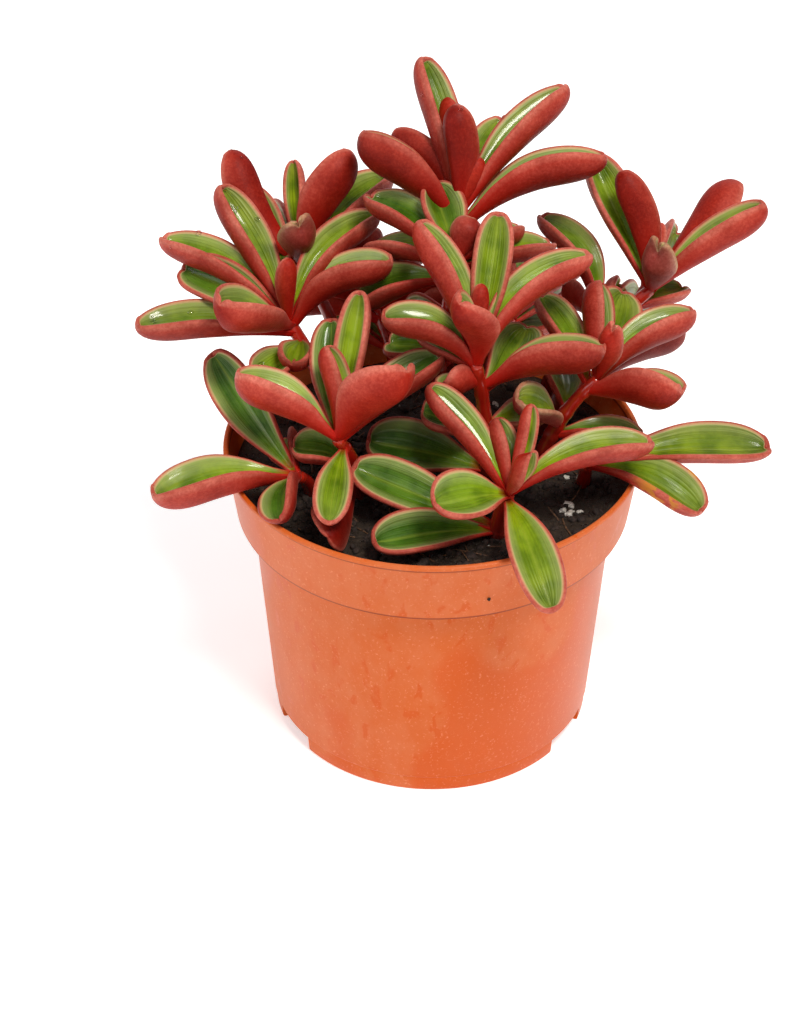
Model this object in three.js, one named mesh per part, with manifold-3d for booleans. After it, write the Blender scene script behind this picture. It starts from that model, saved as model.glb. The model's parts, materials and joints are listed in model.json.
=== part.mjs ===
// A peperomia of fourteen leafy stems in a terracotta-coloured plastic nursery pot.
// Millimetres, +Z up, origin in the middle of the pot's underside, +X to the viewer's right,
// and the viewer looks from the -Y side, down on the rim.
import * as THREE from "three";
import { mergeVertices } from "three/addons/utils/BufferGeometryUtils.js";
import Module from "manifold-3d";

const wasm = await Module();
wasm.setup();

// ---------------------------------------------------------------- driving dimensions, mm
const POT = {
  height: 92.7,
  rimRadius: 60, // outside, at the lip: a 12 cm nursery pot
  lip: 1.5, // height and thickness of the rounded lip
  bandHeight: 20.4, // the wide collar under the lip
  bandFootRadius: 57,
  bodyTopRadius: 52.5, // just under the collar's ledge
  baseRadius: 47.5,
  wall: 1.5,
  segments: 36,
};
const DRAIN = {
  channels: [30, 150, 270], // degrees round the foot, measured from +X towards -Y
  halfWidth: 10.5, // degrees
  height: 5.5,
  innerRadius: 34,
  holeRadius: 4.2,
  holeAt: 41, // distance of each drain hole's centre from the pot's axis
};
const SOIL = {
  level: 83,
  lumps: 0.7, // how far the peat rises and dips
  rings: 3,
  segments: 24,
};
const STEM = {
  buried: 14, // depth of the cutting in the soil
  sides: 6,
  holeSides: 9,
  steps: 4,
  neck: 0.62, // share of the foot's radius that is left at the growing tip
};
const LEAF = {
  thickness: 3.2, // fleshy blade, at its keel
  youngThickness: 2.4,
  youngBelow: 5.5, // half width under which a leaf counts as young
  rim: 1.7, // how much of the half width is the fleshy rim outside the groove
  youngRim: 1,
  widest: 0.68, // where along the leaf it is widest
  stalk: 0.06, // how far up the leaf its stalk reaches
  stalkWidth: 0.13, // shares of the widest, the thickest and the fold that its stalk has
  stalkThickness: 0.55,
  stalkFold: 0.55,
  thickBy: 0.5, // where along the leaf the thickness and the fold are full
  foldedBy: 0.3,
  flare: 1.45, // powers of the width's rise from the stalk and of its fall to the tip
  bluntness: 2.4,
  fullness: 3.2, // and of the thickness's fall to the tip
  flat: 0.35, // share of the fold that the lobes already have at the midrib
  curl: 0.85, // and how much they gain towards the margin
  keelRound: 0.35, // how far out the keel's rounding reaches
  thinning: 0.35, // how much thinner the margin is than the keel
  prow: 0.8, // how far the keel rises at the tip, as a share of the groove's depth
  stations: [0.1, 0.38, 0.68, 0.92],
  inner: [-1, 0, 1], // section points across the groove, as shares of a lobe's width
  outer: [1, 0.38, -0.38, -1], // and back round the keel
  youngOuter: [1, 0, -1],
  least: 0.9, // full width and thickness that no part of a leaf goes under
};
const CLEARANCE = 0.3; // between pieces that touch

// ---------------------------------------------------------------- where the viewer stands
// A stem's head and a leaf's tip are given where they are seen, as pixels of a picture of
// 796 x 1024, with how many mm nearer than the pot's middle they are. This is that view.
const VIEW = {
  distance: 668,
  target: 66.4, // height looked at
  down: THREE.MathUtils.degToRad(36.75),
  turn: THREE.MathUtils.degToRad(-0.86),
  tilt: THREE.MathUtils.degToRad(0.57),
  focal: 2279, // pixels
  middle: [398, 512],
};

/** The eye and its three axes: forward, right and up. */
function eyeFrame() {
  const eye = new THREE.Vector3(0, -Math.cos(VIEW.down), Math.sin(VIEW.down));
  eye.multiplyScalar(VIEW.distance);
  eye.z += VIEW.target;
  const level = new THREE.Vector3(0, Math.cos(VIEW.down), -Math.sin(VIEW.down));
  const side = new THREE.Vector3(1, 0, 0);
  const above = side.clone().cross(level);
  const forward = blend(level, Math.cos(VIEW.turn), side, Math.sin(VIEW.turn));
  const across = blend(side, Math.cos(VIEW.turn), level, -Math.sin(VIEW.turn));
  const right = blend(across, Math.cos(VIEW.tilt), above, Math.sin(VIEW.tilt));
  const up = blend(above, Math.cos(VIEW.tilt), across, -Math.sin(VIEW.tilt));
  return { eye, forward, right, up };
}

/** a * p + b * q. */
function blend(p, a, q, b) {
  return p.clone().multiplyScalar(a).addScaledVector(q, b);
}

const EYE = eyeFrame();

/** The point seen at a pixel, so many mm nearer than the pot's middle. */
function seen([u, v], nearer) {
  const ray = EYE.forward
    .clone()
    .addScaledVector(EYE.right, (u - VIEW.middle[0]) / VIEW.focal)
    .addScaledVector(EYE.up, (VIEW.middle[1] - v) / VIEW.focal);
  return EYE.eye.clone().addScaledVector(ray, VIEW.distance - nearer);
}

/** How much nearer than the pot's middle a point is. */
function nearness(point) {
  return VIEW.distance - point.clone().sub(EYE.eye).dot(EYE.forward);
}

// ---------------------------------------------------------------- the plant, as seen
// Each stem: foot on the soil (x, y), head as a pixel and its nearness, foot radius. The two
// stems at the back, which the others hide, have their heads as points (x, y, z).
const STEMS = {
  left: { foot: [-26, 6], head: [289, 322], near: 22, radius: 2.6 },
  left_rear: { foot: [-22, 26], head: [300, 262], near: 10, radius: 2.4 },
  top: { foot: [3, 22], head: [459, 215], near: 25, radius: 2.6 },
  middle_rear: { foot: [0, 8], head: [455, 262], near: 33, radius: 2.4 },
  right_rear: { foot: [32, 16], head: [650, 290], near: 15, radius: 2.5 },
  front_left: { foot: [-20, -14], head: [338, 440], near: 40, radius: 2.6 },
  middle: { foot: [16, -5], head: [476, 365], near: 42, radius: 2.6 },
  right: { foot: [30, -1], head: [597, 380], near: 30, radius: 2.6 },
  front: { foot: [18, -32], head: [508, 495], near: 48, radius: 2.6 },
  rim_left: { foot: [-34, -14], head: [299, 477], near: 32, radius: 2.4 },
  rim_right: { foot: [43, -8], head: [588, 466], near: 27, radius: 2.4 },
  right_inner: { foot: [32, 32], head: [596, 318], near: 2, radius: 2.4 },
  rear_left: { foot: [-10, 38], at: [-17, 49, 105], radius: 2.4 },
  rear_right: { foot: [16, 42], at: [23, 50, 102], radius: 2.4 },
};

// Each leaf: how far up its stem it grows, its tip as a pixel and how much nearer than its
// base, half its unfolded width, how far each lobe folds up, its bow as a share of its length,
// and the angle of its green face from the eye towards its stem (none: it faces its stem).
const LEAVES = {
  left: [
    { up: 0.97, tip: [166, 243], near: -6, half: 8.5, fold: 60, arch: 0.1, face: 57 },
    { up: 1, tip: [219, 187], near: -4, half: 8.5, fold: 62, arch: 0, face: -52 },
    { up: 1, tip: [251, 187], near: -26, half: 8, fold: 65, arch: 0, face: -42 },
    { up: 1, tip: [373, 219], near: -8, half: 8, fold: 65, arch: 0.12, face: 48 },
    { up: 0.95, tip: [378, 238], near: -16, half: 7.5, fold: 65, arch: 0.1, face: 92 },
    { up: 0.95, tip: [382, 268], near: 11, half: 10, fold: 60, arch: 0.15, face: 80 },
    { up: 1, tip: [288, 259], near: 12, half: 4, fold: 80, arch: 0, face: 120 },
    { up: 0.97, tip: [222, 306], near: 26, half: 12, fold: 66, arch: 0, face: 80 },
    { up: 0.9, tip: [139, 328], near: 8, half: 9.5, fold: 52, arch: 0.05, face: 66 },
    { up: 0.93, tip: [186, 271], near: -4, half: 8.5, fold: 45, arch: 0.1, face: 15 },
    { up: 0.85, tip: [292, 364], near: 11, half: 7, fold: 65, arch: 0, face: 12 },
    { up: 0.8, tip: [256, 378], near: 10, half: 7, fold: 45, arch: 0, face: 35 },
  ],
  left_rear: [
    { up: 1, tip: [234, 156], near: 2, half: 8.5, fold: 78, arch: 0.08, face: 112 },
    { up: 1, tip: [294, 161], near: -14, half: 4.4, fold: 72, arch: 0, face: 20 },
    { up: 1, tip: [349, 158], near: 8, half: 10, fold: 75, arch: 0.05, face: 108 },
    { up: 0.95, tip: [384, 180], near: -11, half: 9.5, fold: 62, arch: 0.1, face: 47 },
    { up: 1, tip: [299, 222], near: 22, half: 7.6, fold: 62, arch: 0, face: 150 },
    { up: 0.95, tip: [262, 215], near: -30, half: 8, fold: 55, arch: 0.1 },
    { up: 0.9, tip: [320, 230], near: -32, half: 8, fold: 50, arch: 0.1 },
  ],
  top: [
    { up: 1, tip: [421, 58], near: -6, half: 8, fold: 60, arch: 0, face: 50 },
    { up: 1, tip: [455, 108], near: 10, half: 7, fold: 78, arch: 0.03, face: 135 },
    { up: 1, tip: [447, 97], near: -8, half: 5, fold: 75, arch: 0, face: 120 },
    { up: 0.95, tip: [364, 141], near: 8, half: 10.5, fold: 72, arch: 0.05, face: 88 },
    { up: 1, tip: [396, 138], near: -12, half: 7, fold: 70, arch: 0.1, face: 98 },
    { up: 1, tip: [565, 91], near: -4, half: 8.5, fold: 65, arch: 0.06, face: 66 },
    { up: 1, tip: [502, 121], near: -16, half: 7, fold: 60, arch: 0.05, face: 40 },
    { up: 1, tip: [481, 158], near: 4, half: 3.5, fold: 80, arch: 0, face: 120 },
    { up: 0.9, tip: [598, 163], near: 4, half: 9.5, fold: 68, arch: 0.12, face: 75 },
    { up: 0.5, tip: [404, 322], near: -16, half: 8, fold: 45, arch: 0.05, face: 40 },
    { up: 0.45, tip: [522, 292], near: -12, half: 8, fold: 45, arch: 0.05, face: 40 },
  ],
  middle_rear: [
    { up: 1, tip: [434, 184], near: -6, half: 8, fold: 45, arch: 0, face: 28 },
    { up: 1, tip: [373, 200], near: -9, half: 9, fold: 50, arch: 0.08, face: 52 },
    { up: 0.9, tip: [362, 302], near: -8, half: 9, fold: 50, arch: 0.1, face: 60 },
    { up: 1, tip: [473, 221], near: 2, half: 6, fold: 75, arch: 0, face: 140 },
    { up: 0.95, tip: [372, 250], near: -12, half: 8, fold: 45, arch: 0.1 },
    { up: 1, tip: [519, 231], near: -12, half: 6, fold: 60, arch: 0.05, face: 60 },
    { up: 0.95, tip: [549, 247], near: -13, half: 7.5, fold: 50, arch: 0.06, face: 60 },
    { up: 0.5, tip: [392, 344], near: -4, half: 8, fold: 42, arch: 0.05, face: 40 },
    { up: 0.4, tip: [470, 330], near: -8, half: 7.5, fold: 42, arch: 0.05, face: 30 },
  ],
  right_rear: [
    { up: 1, tip: [592, 156], near: -8, half: 8, fold: 58, arch: 0, face: 26 },
    { up: 1, tip: [622, 176], near: 6, half: 6.8, fold: 76, arch: 0.08, face: 130 },
    { up: 1, tip: [660, 223], near: -6, half: 3, fold: 80, arch: 0, face: 90 },
    { up: 1, tip: [660, 243], near: 16, half: 7, fold: 62, arch: 0, face: 150 },
    { up: 1, tip: [734, 184], near: -9, half: 10, fold: 72, arch: 0.02, face: 88 },
    { up: 0.97, tip: [765, 208], near: 14, half: 8.5, fold: 68, arch: 0.02, face: 74 },
    { up: 0.85, tip: [681, 289], near: -12, half: 7, fold: 40, arch: 0.05, face: 50 },
    { up: 0.95, tip: [675, 235], near: -28, half: 8, fold: 55, arch: 0.1 },
    { up: 0.95, tip: [632, 225], near: -28, half: 8, fold: 55, arch: 0.1 },
  ],
  front_left: [
    { up: 1, tip: [242, 381], near: 6, half: 11, fold: 62, arch: 0.06, face: 80 },
    { up: 1, tip: [325, 349], near: 6, half: 5.5, fold: 70, arch: 0.05, face: -66 },
    { up: 1, tip: [332, 319], near: -10, half: 6.5, fold: 45, arch: 0, face: 20 },
    { up: 1, tip: [361, 291], near: -2, half: 6, fold: 62, arch: 0, face: 15 },
    { up: 1, tip: [402, 376], near: 16, half: 13, fold: 50, arch: 0.06, face: 112 },
    { up: 0.95, tip: [438, 359], near: -2, half: 8.5, fold: 55, arch: 0.08, face: 50 },
    { up: 0.8, tip: [329, 524], near: 22, half: 6, fold: 35, arch: 0.05, face: 8 },
    { up: 0.95, tip: [358, 392], near: -20, half: 7, fold: 50, arch: 0.1 },
    { up: 0.24, tip: [329, 537], near: 29, half: 8, fold: 24, arch: 0.05, face: 150 },
    { up: 0.45, tip: [296, 448], near: 0, half: 7.5, fold: 45, arch: 0.05, face: 40 },
  ],
  middle: [
    { up: 1, tip: [419, 226], near: 3, half: 8.5, fold: 66, arch: 0.06, face: 66 },
    { up: 1, tip: [499, 212], near: -2, half: 6.8, fold: 50, arch: 0, face: 6 },
    { up: 1, tip: [482, 284], near: 6, half: 3.5, fold: 80, arch: 0, face: 120 },
    { up: 1, tip: [462, 308], near: 20, half: 9, fold: 62, arch: 0.1, face: 118 },
    { up: 1, tip: [585, 261], near: -2, half: 8, fold: 66, arch: 0.14, face: 54 },
    { up: 0.93, tip: [391, 322], near: 8, half: 9, fold: 55, arch: 0.15, face: 70 },
    { up: 0.75, tip: [595, 354], near: 8, half: 11.5, fold: 58, arch: 0.09, face: 88 },
    { up: 0.7, tip: [527, 329], near: -14, half: 8, fold: 40, arch: 0.05, face: 20 },
    { up: 0.8, tip: [450, 385], near: 5, half: 7, fold: 60, arch: 0.1, face: 100 },
    { up: 0.95, tip: [430, 332], near: -12, half: 7, fold: 50, arch: 0.1 },
    { up: 0.05, tip: [368, 441], near: 2, half: 9.5, fold: 34, arch: 0.03, face: 24 },
    { up: 0.35, tip: [424, 412], near: 6, half: 8, fold: 42, arch: 0.05, face: 40 },
    { up: 0.4, tip: [538, 414], near: -12, half: 6.5, fold: 42, arch: 0.05, face: 40 },
  ],
  right: [
    { up: 1, tip: [597, 283], near: -4, half: 7, fold: 72, arch: 0, face: 66 },
    { up: 1, tip: [622, 293], near: -12, half: 8.5, fold: 38, arch: 0.03, face: 15 },
    { up: 1, tip: [614, 325], near: 14, half: 5, fold: 68, arch: 0, face: 150 },
    { up: 1, tip: [690, 317], near: -2, half: 9, fold: 60, arch: 0.08, face: 68 },
    { up: 0.85, tip: [674, 392], near: 12, half: 11, fold: 66, arch: 0.05, face: 92 },
    { up: 0.95, tip: [679, 338], near: -14, half: 8, fold: 55, arch: 0.08, face: 80 },
    { up: 0.6, tip: [560, 368], near: -14, half: 7, fold: 40, arch: 0.05, face: 20 },
    { up: 0.9, tip: [541, 298], near: -10, half: 7, fold: 50, arch: 0.05, face: 40 },
    { up: 0.45, tip: [519, 402], near: 20, half: 8, fold: 55, arch: 0.08, face: 60 },
    { up: 0.35, tip: [640, 438], near: 3, half: 7.5, fold: 50, arch: 0.05, face: 70 },
  ],
  front: [
    { up: 1, tip: [429, 388], near: -2, half: 7, fold: 60, arch: 0.04, face: 52 },
    { up: 0.1, tip: [353, 467], near: 0, half: 8.2, fold: 34, arch: 0.03, face: 24 },
    { up: 0.97, tip: [436, 504], near: 18, half: 9, fold: 42, arch: 0.05, face: 30 },
    { up: 0.05, tip: [374, 543], near: 14, half: 8.2, fold: 40, arch: 0.04, face: 30 },
    { up: 1, tip: [531, 404], near: 4, half: 3.5, fold: 75, arch: 0, face: 50 },
    { up: 1, tip: [530, 452], near: 14, half: 5, fold: 60, arch: 0, face: 75 },
    { up: 1, tip: [648, 446], near: -2, half: 8.5, fold: 50, arch: 0.1, face: 62 },
    { up: 0.85, tip: [551, 609], near: 24, half: 7.4, fold: 34, arch: 0.15, face: 14 },
    { up: 0.97, tip: [495, 420], near: -3, half: 5.6, fold: 62, arch: 0.03, face: 60 },
    { up: 0.95, tip: [520, 470], near: -26, half: 7, fold: 50, arch: 0.1 },
  ],
  rim_left: [
    { up: 0.9, tip: [212, 351], near: -14, half: 8, fold: 34, arch: -0.03, face: 22 },
    { up: 1, tip: [159, 497], near: 9, half: 12, fold: 52, arch: 0.06, face: 68 },
    { up: 1, tip: [281, 518], near: 20, half: 7.5, fold: 50, arch: 0.1, face: 60 },
    { up: 1, tip: [290, 440], near: -20, half: 6, fold: 50, arch: 0.1 },
  ],
  rim_right: [
    { up: 1, tip: [697, 510], near: 10, half: 9, fold: 48, arch: 0.1, face: 48 },
    { up: 1, tip: [767, 449], near: -4, half: 9, fold: 44, arch: 0.06, face: 42 },
  ],
  right_inner: [
    { up: 1, tip: [544, 223], near: 0, half: 8.5, fold: 45, arch: 0.18, face: 60 },
    { up: 1, tip: [617, 285], near: -10, half: 6, fold: 50, arch: 0.05, face: 40 },
    { up: 0.95, tip: [570, 298], near: -20, half: 7.5, fold: 50, arch: 0.1 },
    { up: 0.95, tip: [640, 300], near: -26, half: 8, fold: 50, arch: 0.1 },
  ],
  rear_left: [
    { up: 1, heading: 150, rise: 16, length: 33, half: 8.5, fold: 58, arch: 0.08 },
    { up: 1, heading: 192, rise: 20, length: 35, half: 9, fold: 58, arch: 0.08 },
    { up: 1, heading: 236, rise: 18, length: 33, half: 8.5, fold: 60, arch: 0.08 },
    { up: 0.85, heading: 172, rise: -4, length: 33, half: 9, fold: 48, arch: 0.1 },
    { up: 0.8, heading: 215, rise: -2, length: 33, half: 8.5, fold: 48, arch: 0.1 },
    { up: 0.85, heading: 262, rise: 6, length: 30, half: 8, fold: 50, arch: 0.1 },
    { up: 1, heading: 180, rise: 50, length: 22, half: 5, fold: 70, arch: 0 },
    { up: 1, heading: 100, rise: 22, length: 28, half: 7, fold: 55, arch: 0.08 },
    { up: 0.55, heading: 196, rise: -8, length: 27, half: 8, fold: 45, arch: 0.08 },
    { up: 1, heading: 285, rise: 34, length: 29, half: 8, fold: 60, arch: 0.06 },
    { up: 0.5, heading: 236, rise: 2, length: 24, half: 7.5, fold: 45, arch: 0.08 },
  ],
  rear_right: [
    { up: 1, heading: 136, rise: 12, length: 31, half: 8.5, fold: 58, arch: 0.08 },
    { up: 1, heading: 178, rise: 18, length: 34, half: 9, fold: 58, arch: 0.08 },
    { up: 1, heading: 222, rise: 18, length: 32, half: 8.5, fold: 60, arch: 0.08 },
    { up: 0.85, heading: 156, rise: -5, length: 32, half: 9, fold: 48, arch: 0.1 },
    { up: 0.8, heading: 200, rise: -3, length: 33, half: 8.5, fold: 48, arch: 0.1 },
    { up: 0.9, heading: 262, rise: 16, length: 26, half: 7, fold: 50, arch: 0.1 },
    { up: 1, heading: 190, rise: 52, length: 22, half: 5, fold: 70, arch: 0 },
    { up: 1, heading: 120, rise: 30, length: 30, half: 8, fold: 60, arch: 0.06 },
    { up: 0.55, heading: 140, rise: -8, length: 27, half: 8, fold: 45, arch: 0.08 },
  ],
};

// Stems that branch or touch low down are one grown piece.
const GROWTH = {
  stems_left: ["left", "left_rear"],
  stems_top: ["top", "middle_rear"],
  stem_right_rear: ["right_rear"],
  stem_right_inner: ["right_inner"],
  stem_front_left: ["front_left"],
  stem_rim_left: ["rim_left"],
  stem_middle: ["middle"],
  stem_right: ["right"],
  stem_rim_right: ["rim_right"],
  stem_front: ["front"],
  stem_rear_left: ["rear_left"],
  stem_rear_right: ["rear_right"],
};

// ---------------------------------------------------------------- solids

/** A closed geometry as a solid that can be joined and cut. */
function solidOf(geometry) {
  const bare = geometry.clone();
  bare.deleteAttribute("normal");
  bare.deleteAttribute("uv");
  const merged = mergeVertices(bare, 1e-4);
  return new wasm.Manifold(
    new wasm.Mesh({
      numProp: 3,
      vertProperties: new Float32Array(merged.attributes.position.array),
      triVerts: new Uint32Array(merged.index.array),
    }),
  );
}

/** A solid back as a geometry. */
function geometryOf(solid) {
  const mesh = solid.getMesh();
  const geometry = new THREE.BufferGeometry();
  geometry.setAttribute("position", new THREE.BufferAttribute(mesh.vertProperties, 3));
  geometry.setIndex(new THREE.BufferAttribute(mesh.triVerts, 1));
  geometry.computeVertexNormals();
  return geometry;
}

/** A closed skin over rings of points, with a point before the first and after the last. */
function loft(rings, first, last) {
  const sides = rings[0].length;
  const points = [...rings.flat(), first, last];
  const firstIndex = points.length - 2;
  const lastIndex = points.length - 1;
  const index = [];
  for (let j = 0; j < sides; j++) {
    const k = (j + 1) % sides;
    for (let i = 0; i + 1 < rings.length; i++) {
      const [a, b, c, d] = [i * sides + j, i * sides + k, (i + 1) * sides + k, (i + 1) * sides + j];
      index.push(a, b, c, a, c, d);
    }
    const end = (rings.length - 1) * sides;
    index.push(k, j, firstIndex, end + j, end + k, lastIndex);
  }
  const geometry = new THREE.BufferGeometry().setFromPoints(points);
  geometry.setIndex(index);
  return geometry;
}

/** The stem's centre line above the soil. */
function stemCurve({ foot, head, near, at }) {
  const start = new THREE.Vector3(foot[0], foot[1], SOIL.level);
  const end = at ? new THREE.Vector3(...at) : seen(head, near);
  const lean = end.clone().sub(start).multiply(new THREE.Vector3(0.25, 0.25, 0.6));
  return new THREE.QuadraticBezierCurve3(start, start.clone().add(lean), end);
}

/** A stem, upright in the soil and then along its curve, narrowing to its tip. */
function stemSolid(stem) {
  const curve = stemCurve(stem);
  const stops = [];
  const below = curve.v0.clone().setZ(SOIL.level - STEM.buried);
  stops.push({ at: below, along: new THREE.Vector3(0, 0, 1), radius: stem.radius });
  for (let i = 0; i <= STEM.steps; i++) {
    const s = i / STEM.steps;
    stops.push({
      at: curve.getPoint(s),
      along: s === 0 ? new THREE.Vector3(0, 0, 1) : curve.getTangent(s),
      radius: stem.radius * (1 + (STEM.neck - 1) * s),
    });
  }
  const rings = stops.map(({ at, along, radius }) => {
    const out = new THREE.Vector3(1, 0, 0).addScaledVector(along, -along.x).normalize();
    const round = along.clone().cross(out);
    return Array.from({ length: STEM.sides }, (_, k) => {
      const angle = (2 * Math.PI * k) / STEM.sides;
      return at
        .clone()
        .addScaledVector(out, radius * Math.cos(angle))
        .addScaledVector(round, radius * Math.sin(angle));
    });
  });
  const tip = curve.getPoint(1).addScaledVector(curve.getTangent(1), stem.radius * STEM.neck);
  return solidOf(loft(rings, below, tip));
}

/** A lobe's width at t along the leaf, as a share of its widest: narrow stalk, blunt tip. */
function widthShare(t) {
  if (t < LEAF.widest) {
    const rise = Math.max(0, (t - LEAF.stalk) / (LEAF.widest - LEAF.stalk));
    return LEAF.stalkWidth + (1 - LEAF.stalkWidth) * Math.sin((Math.PI / 2) * rise) ** LEAF.flare;
  }
  const fall = (t - LEAF.widest) / (1 - LEAF.widest);
  return Math.sqrt(Math.max(0, 1 - fall ** LEAF.bluntness));
}

/** The blade's thickness at t along the leaf, as a share of its most. */
function thicknessShare(t) {
  if (t < LEAF.widest) {
    return LEAF.stalkThickness + (1 - LEAF.stalkThickness) * Math.min(1, t / LEAF.thickBy);
  }
  const fall = (t - LEAF.widest) / (1 - LEAF.widest);
  return Math.sqrt(Math.max(0, 1 - fall ** LEAF.fullness));
}

/**
 * The boat-shaped section of a folded leaf: across the groove from the left margin to the
 * right one, and back round the keel. x is across, y is towards the groove's opening.
 */
function leafSection(half, thick, fold, outer) {
  const slope = (share) => fold * (LEAF.flat + LEAF.curl * Math.abs(share));
  const bend = half / (LEAF.curl * fold);
  const groove = (share) =>
    new THREE.Vector2(
      Math.sign(share) * bend * (Math.sin(slope(share)) - Math.sin(slope(0))),
      bend * (Math.cos(slope(0)) - Math.cos(slope(share))),
    );
  const keel = (share) => {
    const spread = Math.min(1, Math.abs(share) / LEAF.keelRound);
    const away = new THREE.Vector2(
      Math.sign(share) * Math.sin(slope(share)) * spread,
      -Math.cos(slope(share)) * spread - (1 - spread),
    );
    const depth = thick * (1 - LEAF.thinning * share * share);
    return groove(share).addScaledVector(away.normalize(), depth);
  };
  return [...LEAF.inner.map(groove), ...outer.map(keel)];
}

/** Which way a leaf's green face looks: turned from the eye towards its stem's own axis. */
function faceOf(base, tip, axis, face) {
  const along = tip.clone().sub(base).normalize();
  const flat = (v) => v.addScaledVector(along, -v.dot(along)).normalize();
  if (face === undefined) return flat(axis.clone());
  const toEye = flat(EYE.eye.clone().addScaledVector(base.clone().add(tip), -0.5));
  const inward = along.clone().cross(toEye);
  if (inward.dot(axis) < 0) inward.negate();
  const turned = THREE.MathUtils.degToRad(face);
  return blend(toEye, Math.cos(turned), inward, Math.sin(turned));
}

/** One leaf, its stalk starting in the middle of the stem. */
function leafSolid(stem, leaf) {
  const curve = stemCurve(stem);
  const base = curve.getPoint(leaf.up);
  const axis = curve.getTangent(leaf.up);
  const tip = leaf.tip
    ? seen(leaf.tip, nearness(base) + leaf.near)
    : base.clone().add(heading(leaf.heading, leaf.rise, leaf.length));
  const young = leaf.half < LEAF.youngBelow;
  const thickest = young ? LEAF.youngThickness : LEAF.thickness;
  const outer = young ? LEAF.youngOuter : LEAF.outer;
  const lobe = leaf.half - (young ? LEAF.youngRim : LEAF.rim);
  const bend = THREE.MathUtils.degToRad(leaf.fold);
  const depth = Math.cos(LEAF.flat * bend) - Math.cos((LEAF.flat + LEAF.curl) * bend);
  const prow = (LEAF.prow * lobe * depth) / (LEAF.curl * bend);
  const facing = faceOf(base, tip, axis, leaf.face);
  const end = tip.clone().addScaledVector(facing, -prow);
  const length = base.distanceTo(end);
  const along = end.clone().sub(base).divideScalar(length);
  const face = facing.clone().addScaledVector(along, -facing.dot(along)).normalize();
  const bow = leaf.arch * length;
  const rings = LEAF.stations.map((t) => {
    const middle = blend(base, 1, along, length * t).addScaledVector(face, bow * 4 * t * (1 - t));
    const forward = blend(along, 1, face, 4 * leaf.arch * (1 - 2 * t)).normalize();
    const outward = face.clone().addScaledVector(forward, -face.dot(forward)).normalize();
    const across = forward.clone().cross(outward);
    const half = Math.max(lobe * widthShare(t), LEAF.least / 2);
    const thick = Math.max(thickest * thicknessShare(t), LEAF.least);
    const fold = bend * (LEAF.stalkFold + (1 - LEAF.stalkFold) * Math.min(1, t / LEAF.foldedBy));
    const rise = prow * Math.max(0, (t - LEAF.widest) / (1 - LEAF.widest)) ** 3;
    return leafSection(half, thick, fold, outer).map((p) =>
      middle
        .clone()
        .addScaledVector(across, p.x)
        .addScaledVector(outward, p.y + thick / 2 + rise),
    );
  });
  return solidOf(loft(rings, base, tip));
}

/** A step of a given length, by its compass heading from the viewer's side and its rise. */
function heading(degrees, rise, length) {
  const turn = THREE.MathUtils.degToRad(degrees);
  const lift = THREE.MathUtils.degToRad(rise);
  const level = length * Math.cos(lift);
  return new THREE.Vector3(level * Math.sin(turn), -level * Math.cos(turn), length * Math.sin(lift));
}

/** A stem and all its leaves, grown together. */
function leafyStem(name) {
  const stem = STEMS[name];
  const leaves = LEAVES[name].map((leaf) => leafSolid(stem, leaf));
  return leaves.reduce((whole, leaf) => whole.add(leaf), stemSolid(stem));
}

/** Only the outer skin of a joined solid, so that any pocket shut in between leaves is filled. */
function outerBody(name, solid) {
  const bodies = solid.decompose().filter((body) => body.volume() > 0);
  if (bodies.length !== 1) throw new Error(`${name} grew as ${bodies.length} separate bodies`);
  return bodies[0];
}

// ---------------------------------------------------------------- pot and soil

/** A solid of revolution about Z, from a profile of [radius, height]. */
function turned(profile, segments = POT.segments) {
  const points = profile.map(([r, z]) => new THREE.Vector2(r, z));
  return new THREE.LatheGeometry(points, segments).rotateX(Math.PI / 2);
}

/** The body's outer radius at a height under the collar. */
function bodyRadius(z) {
  const share = z / (POT.height - POT.bandHeight);
  return POT.baseRadius + (POT.bodyTopRadius - POT.baseRadius) * share;
}

/** The collar's outer radius at a height. */
function bandRadius(z) {
  const share = (z - (POT.height - POT.bandHeight)) / POT.bandHeight;
  return POT.bandFootRadius + (POT.rimRadius - POT.bandFootRadius) * share;
}

/** The pot's inner profile, moved in by a clearance, from the floor's middle to the top. */
function innerProfile(gap, top) {
  const ledge = POT.height - POT.bandHeight;
  const inset = POT.wall + gap;
  return [
    [0, inset],
    [bodyRadius(inset) - inset - 1.5, inset],
    [bodyRadius(inset + 1.5) - inset, inset + 1.5],
    [POT.bodyTopRadius - inset, ledge - 0.5 + inset * 0.4],
    [bandRadius(ledge + inset + 0.6) - inset, ledge + inset + 0.6],
    [bandRadius(top) - inset, top],
    [0, top],
  ];
}

/** The radial drain channels under the pot, or the raised floor over them. */
function drainChannels(grown) {
  const outer = POT.baseRadius + 4;
  const spread = THREE.MathUtils.degToRad(DRAIN.halfWidth) + grown / POT.baseRadius;
  return DRAIN.channels.map((degrees) => {
    const middle = -THREE.MathUtils.degToRad(degrees);
    const sector = new THREE.Shape();
    sector.absarc(0, 0, DRAIN.innerRadius - grown, middle - spread, middle + spread, false);
    sector.absarc(0, 0, outer, middle + spread, middle - spread, true);
    const depth = DRAIN.height + grown + 2;
    const block = new THREE.ExtrudeGeometry(sector, { depth, bevelEnabled: false, curveSegments: 3 });
    return solidOf(block.translate(0, 0, -2));
  });
}

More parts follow.
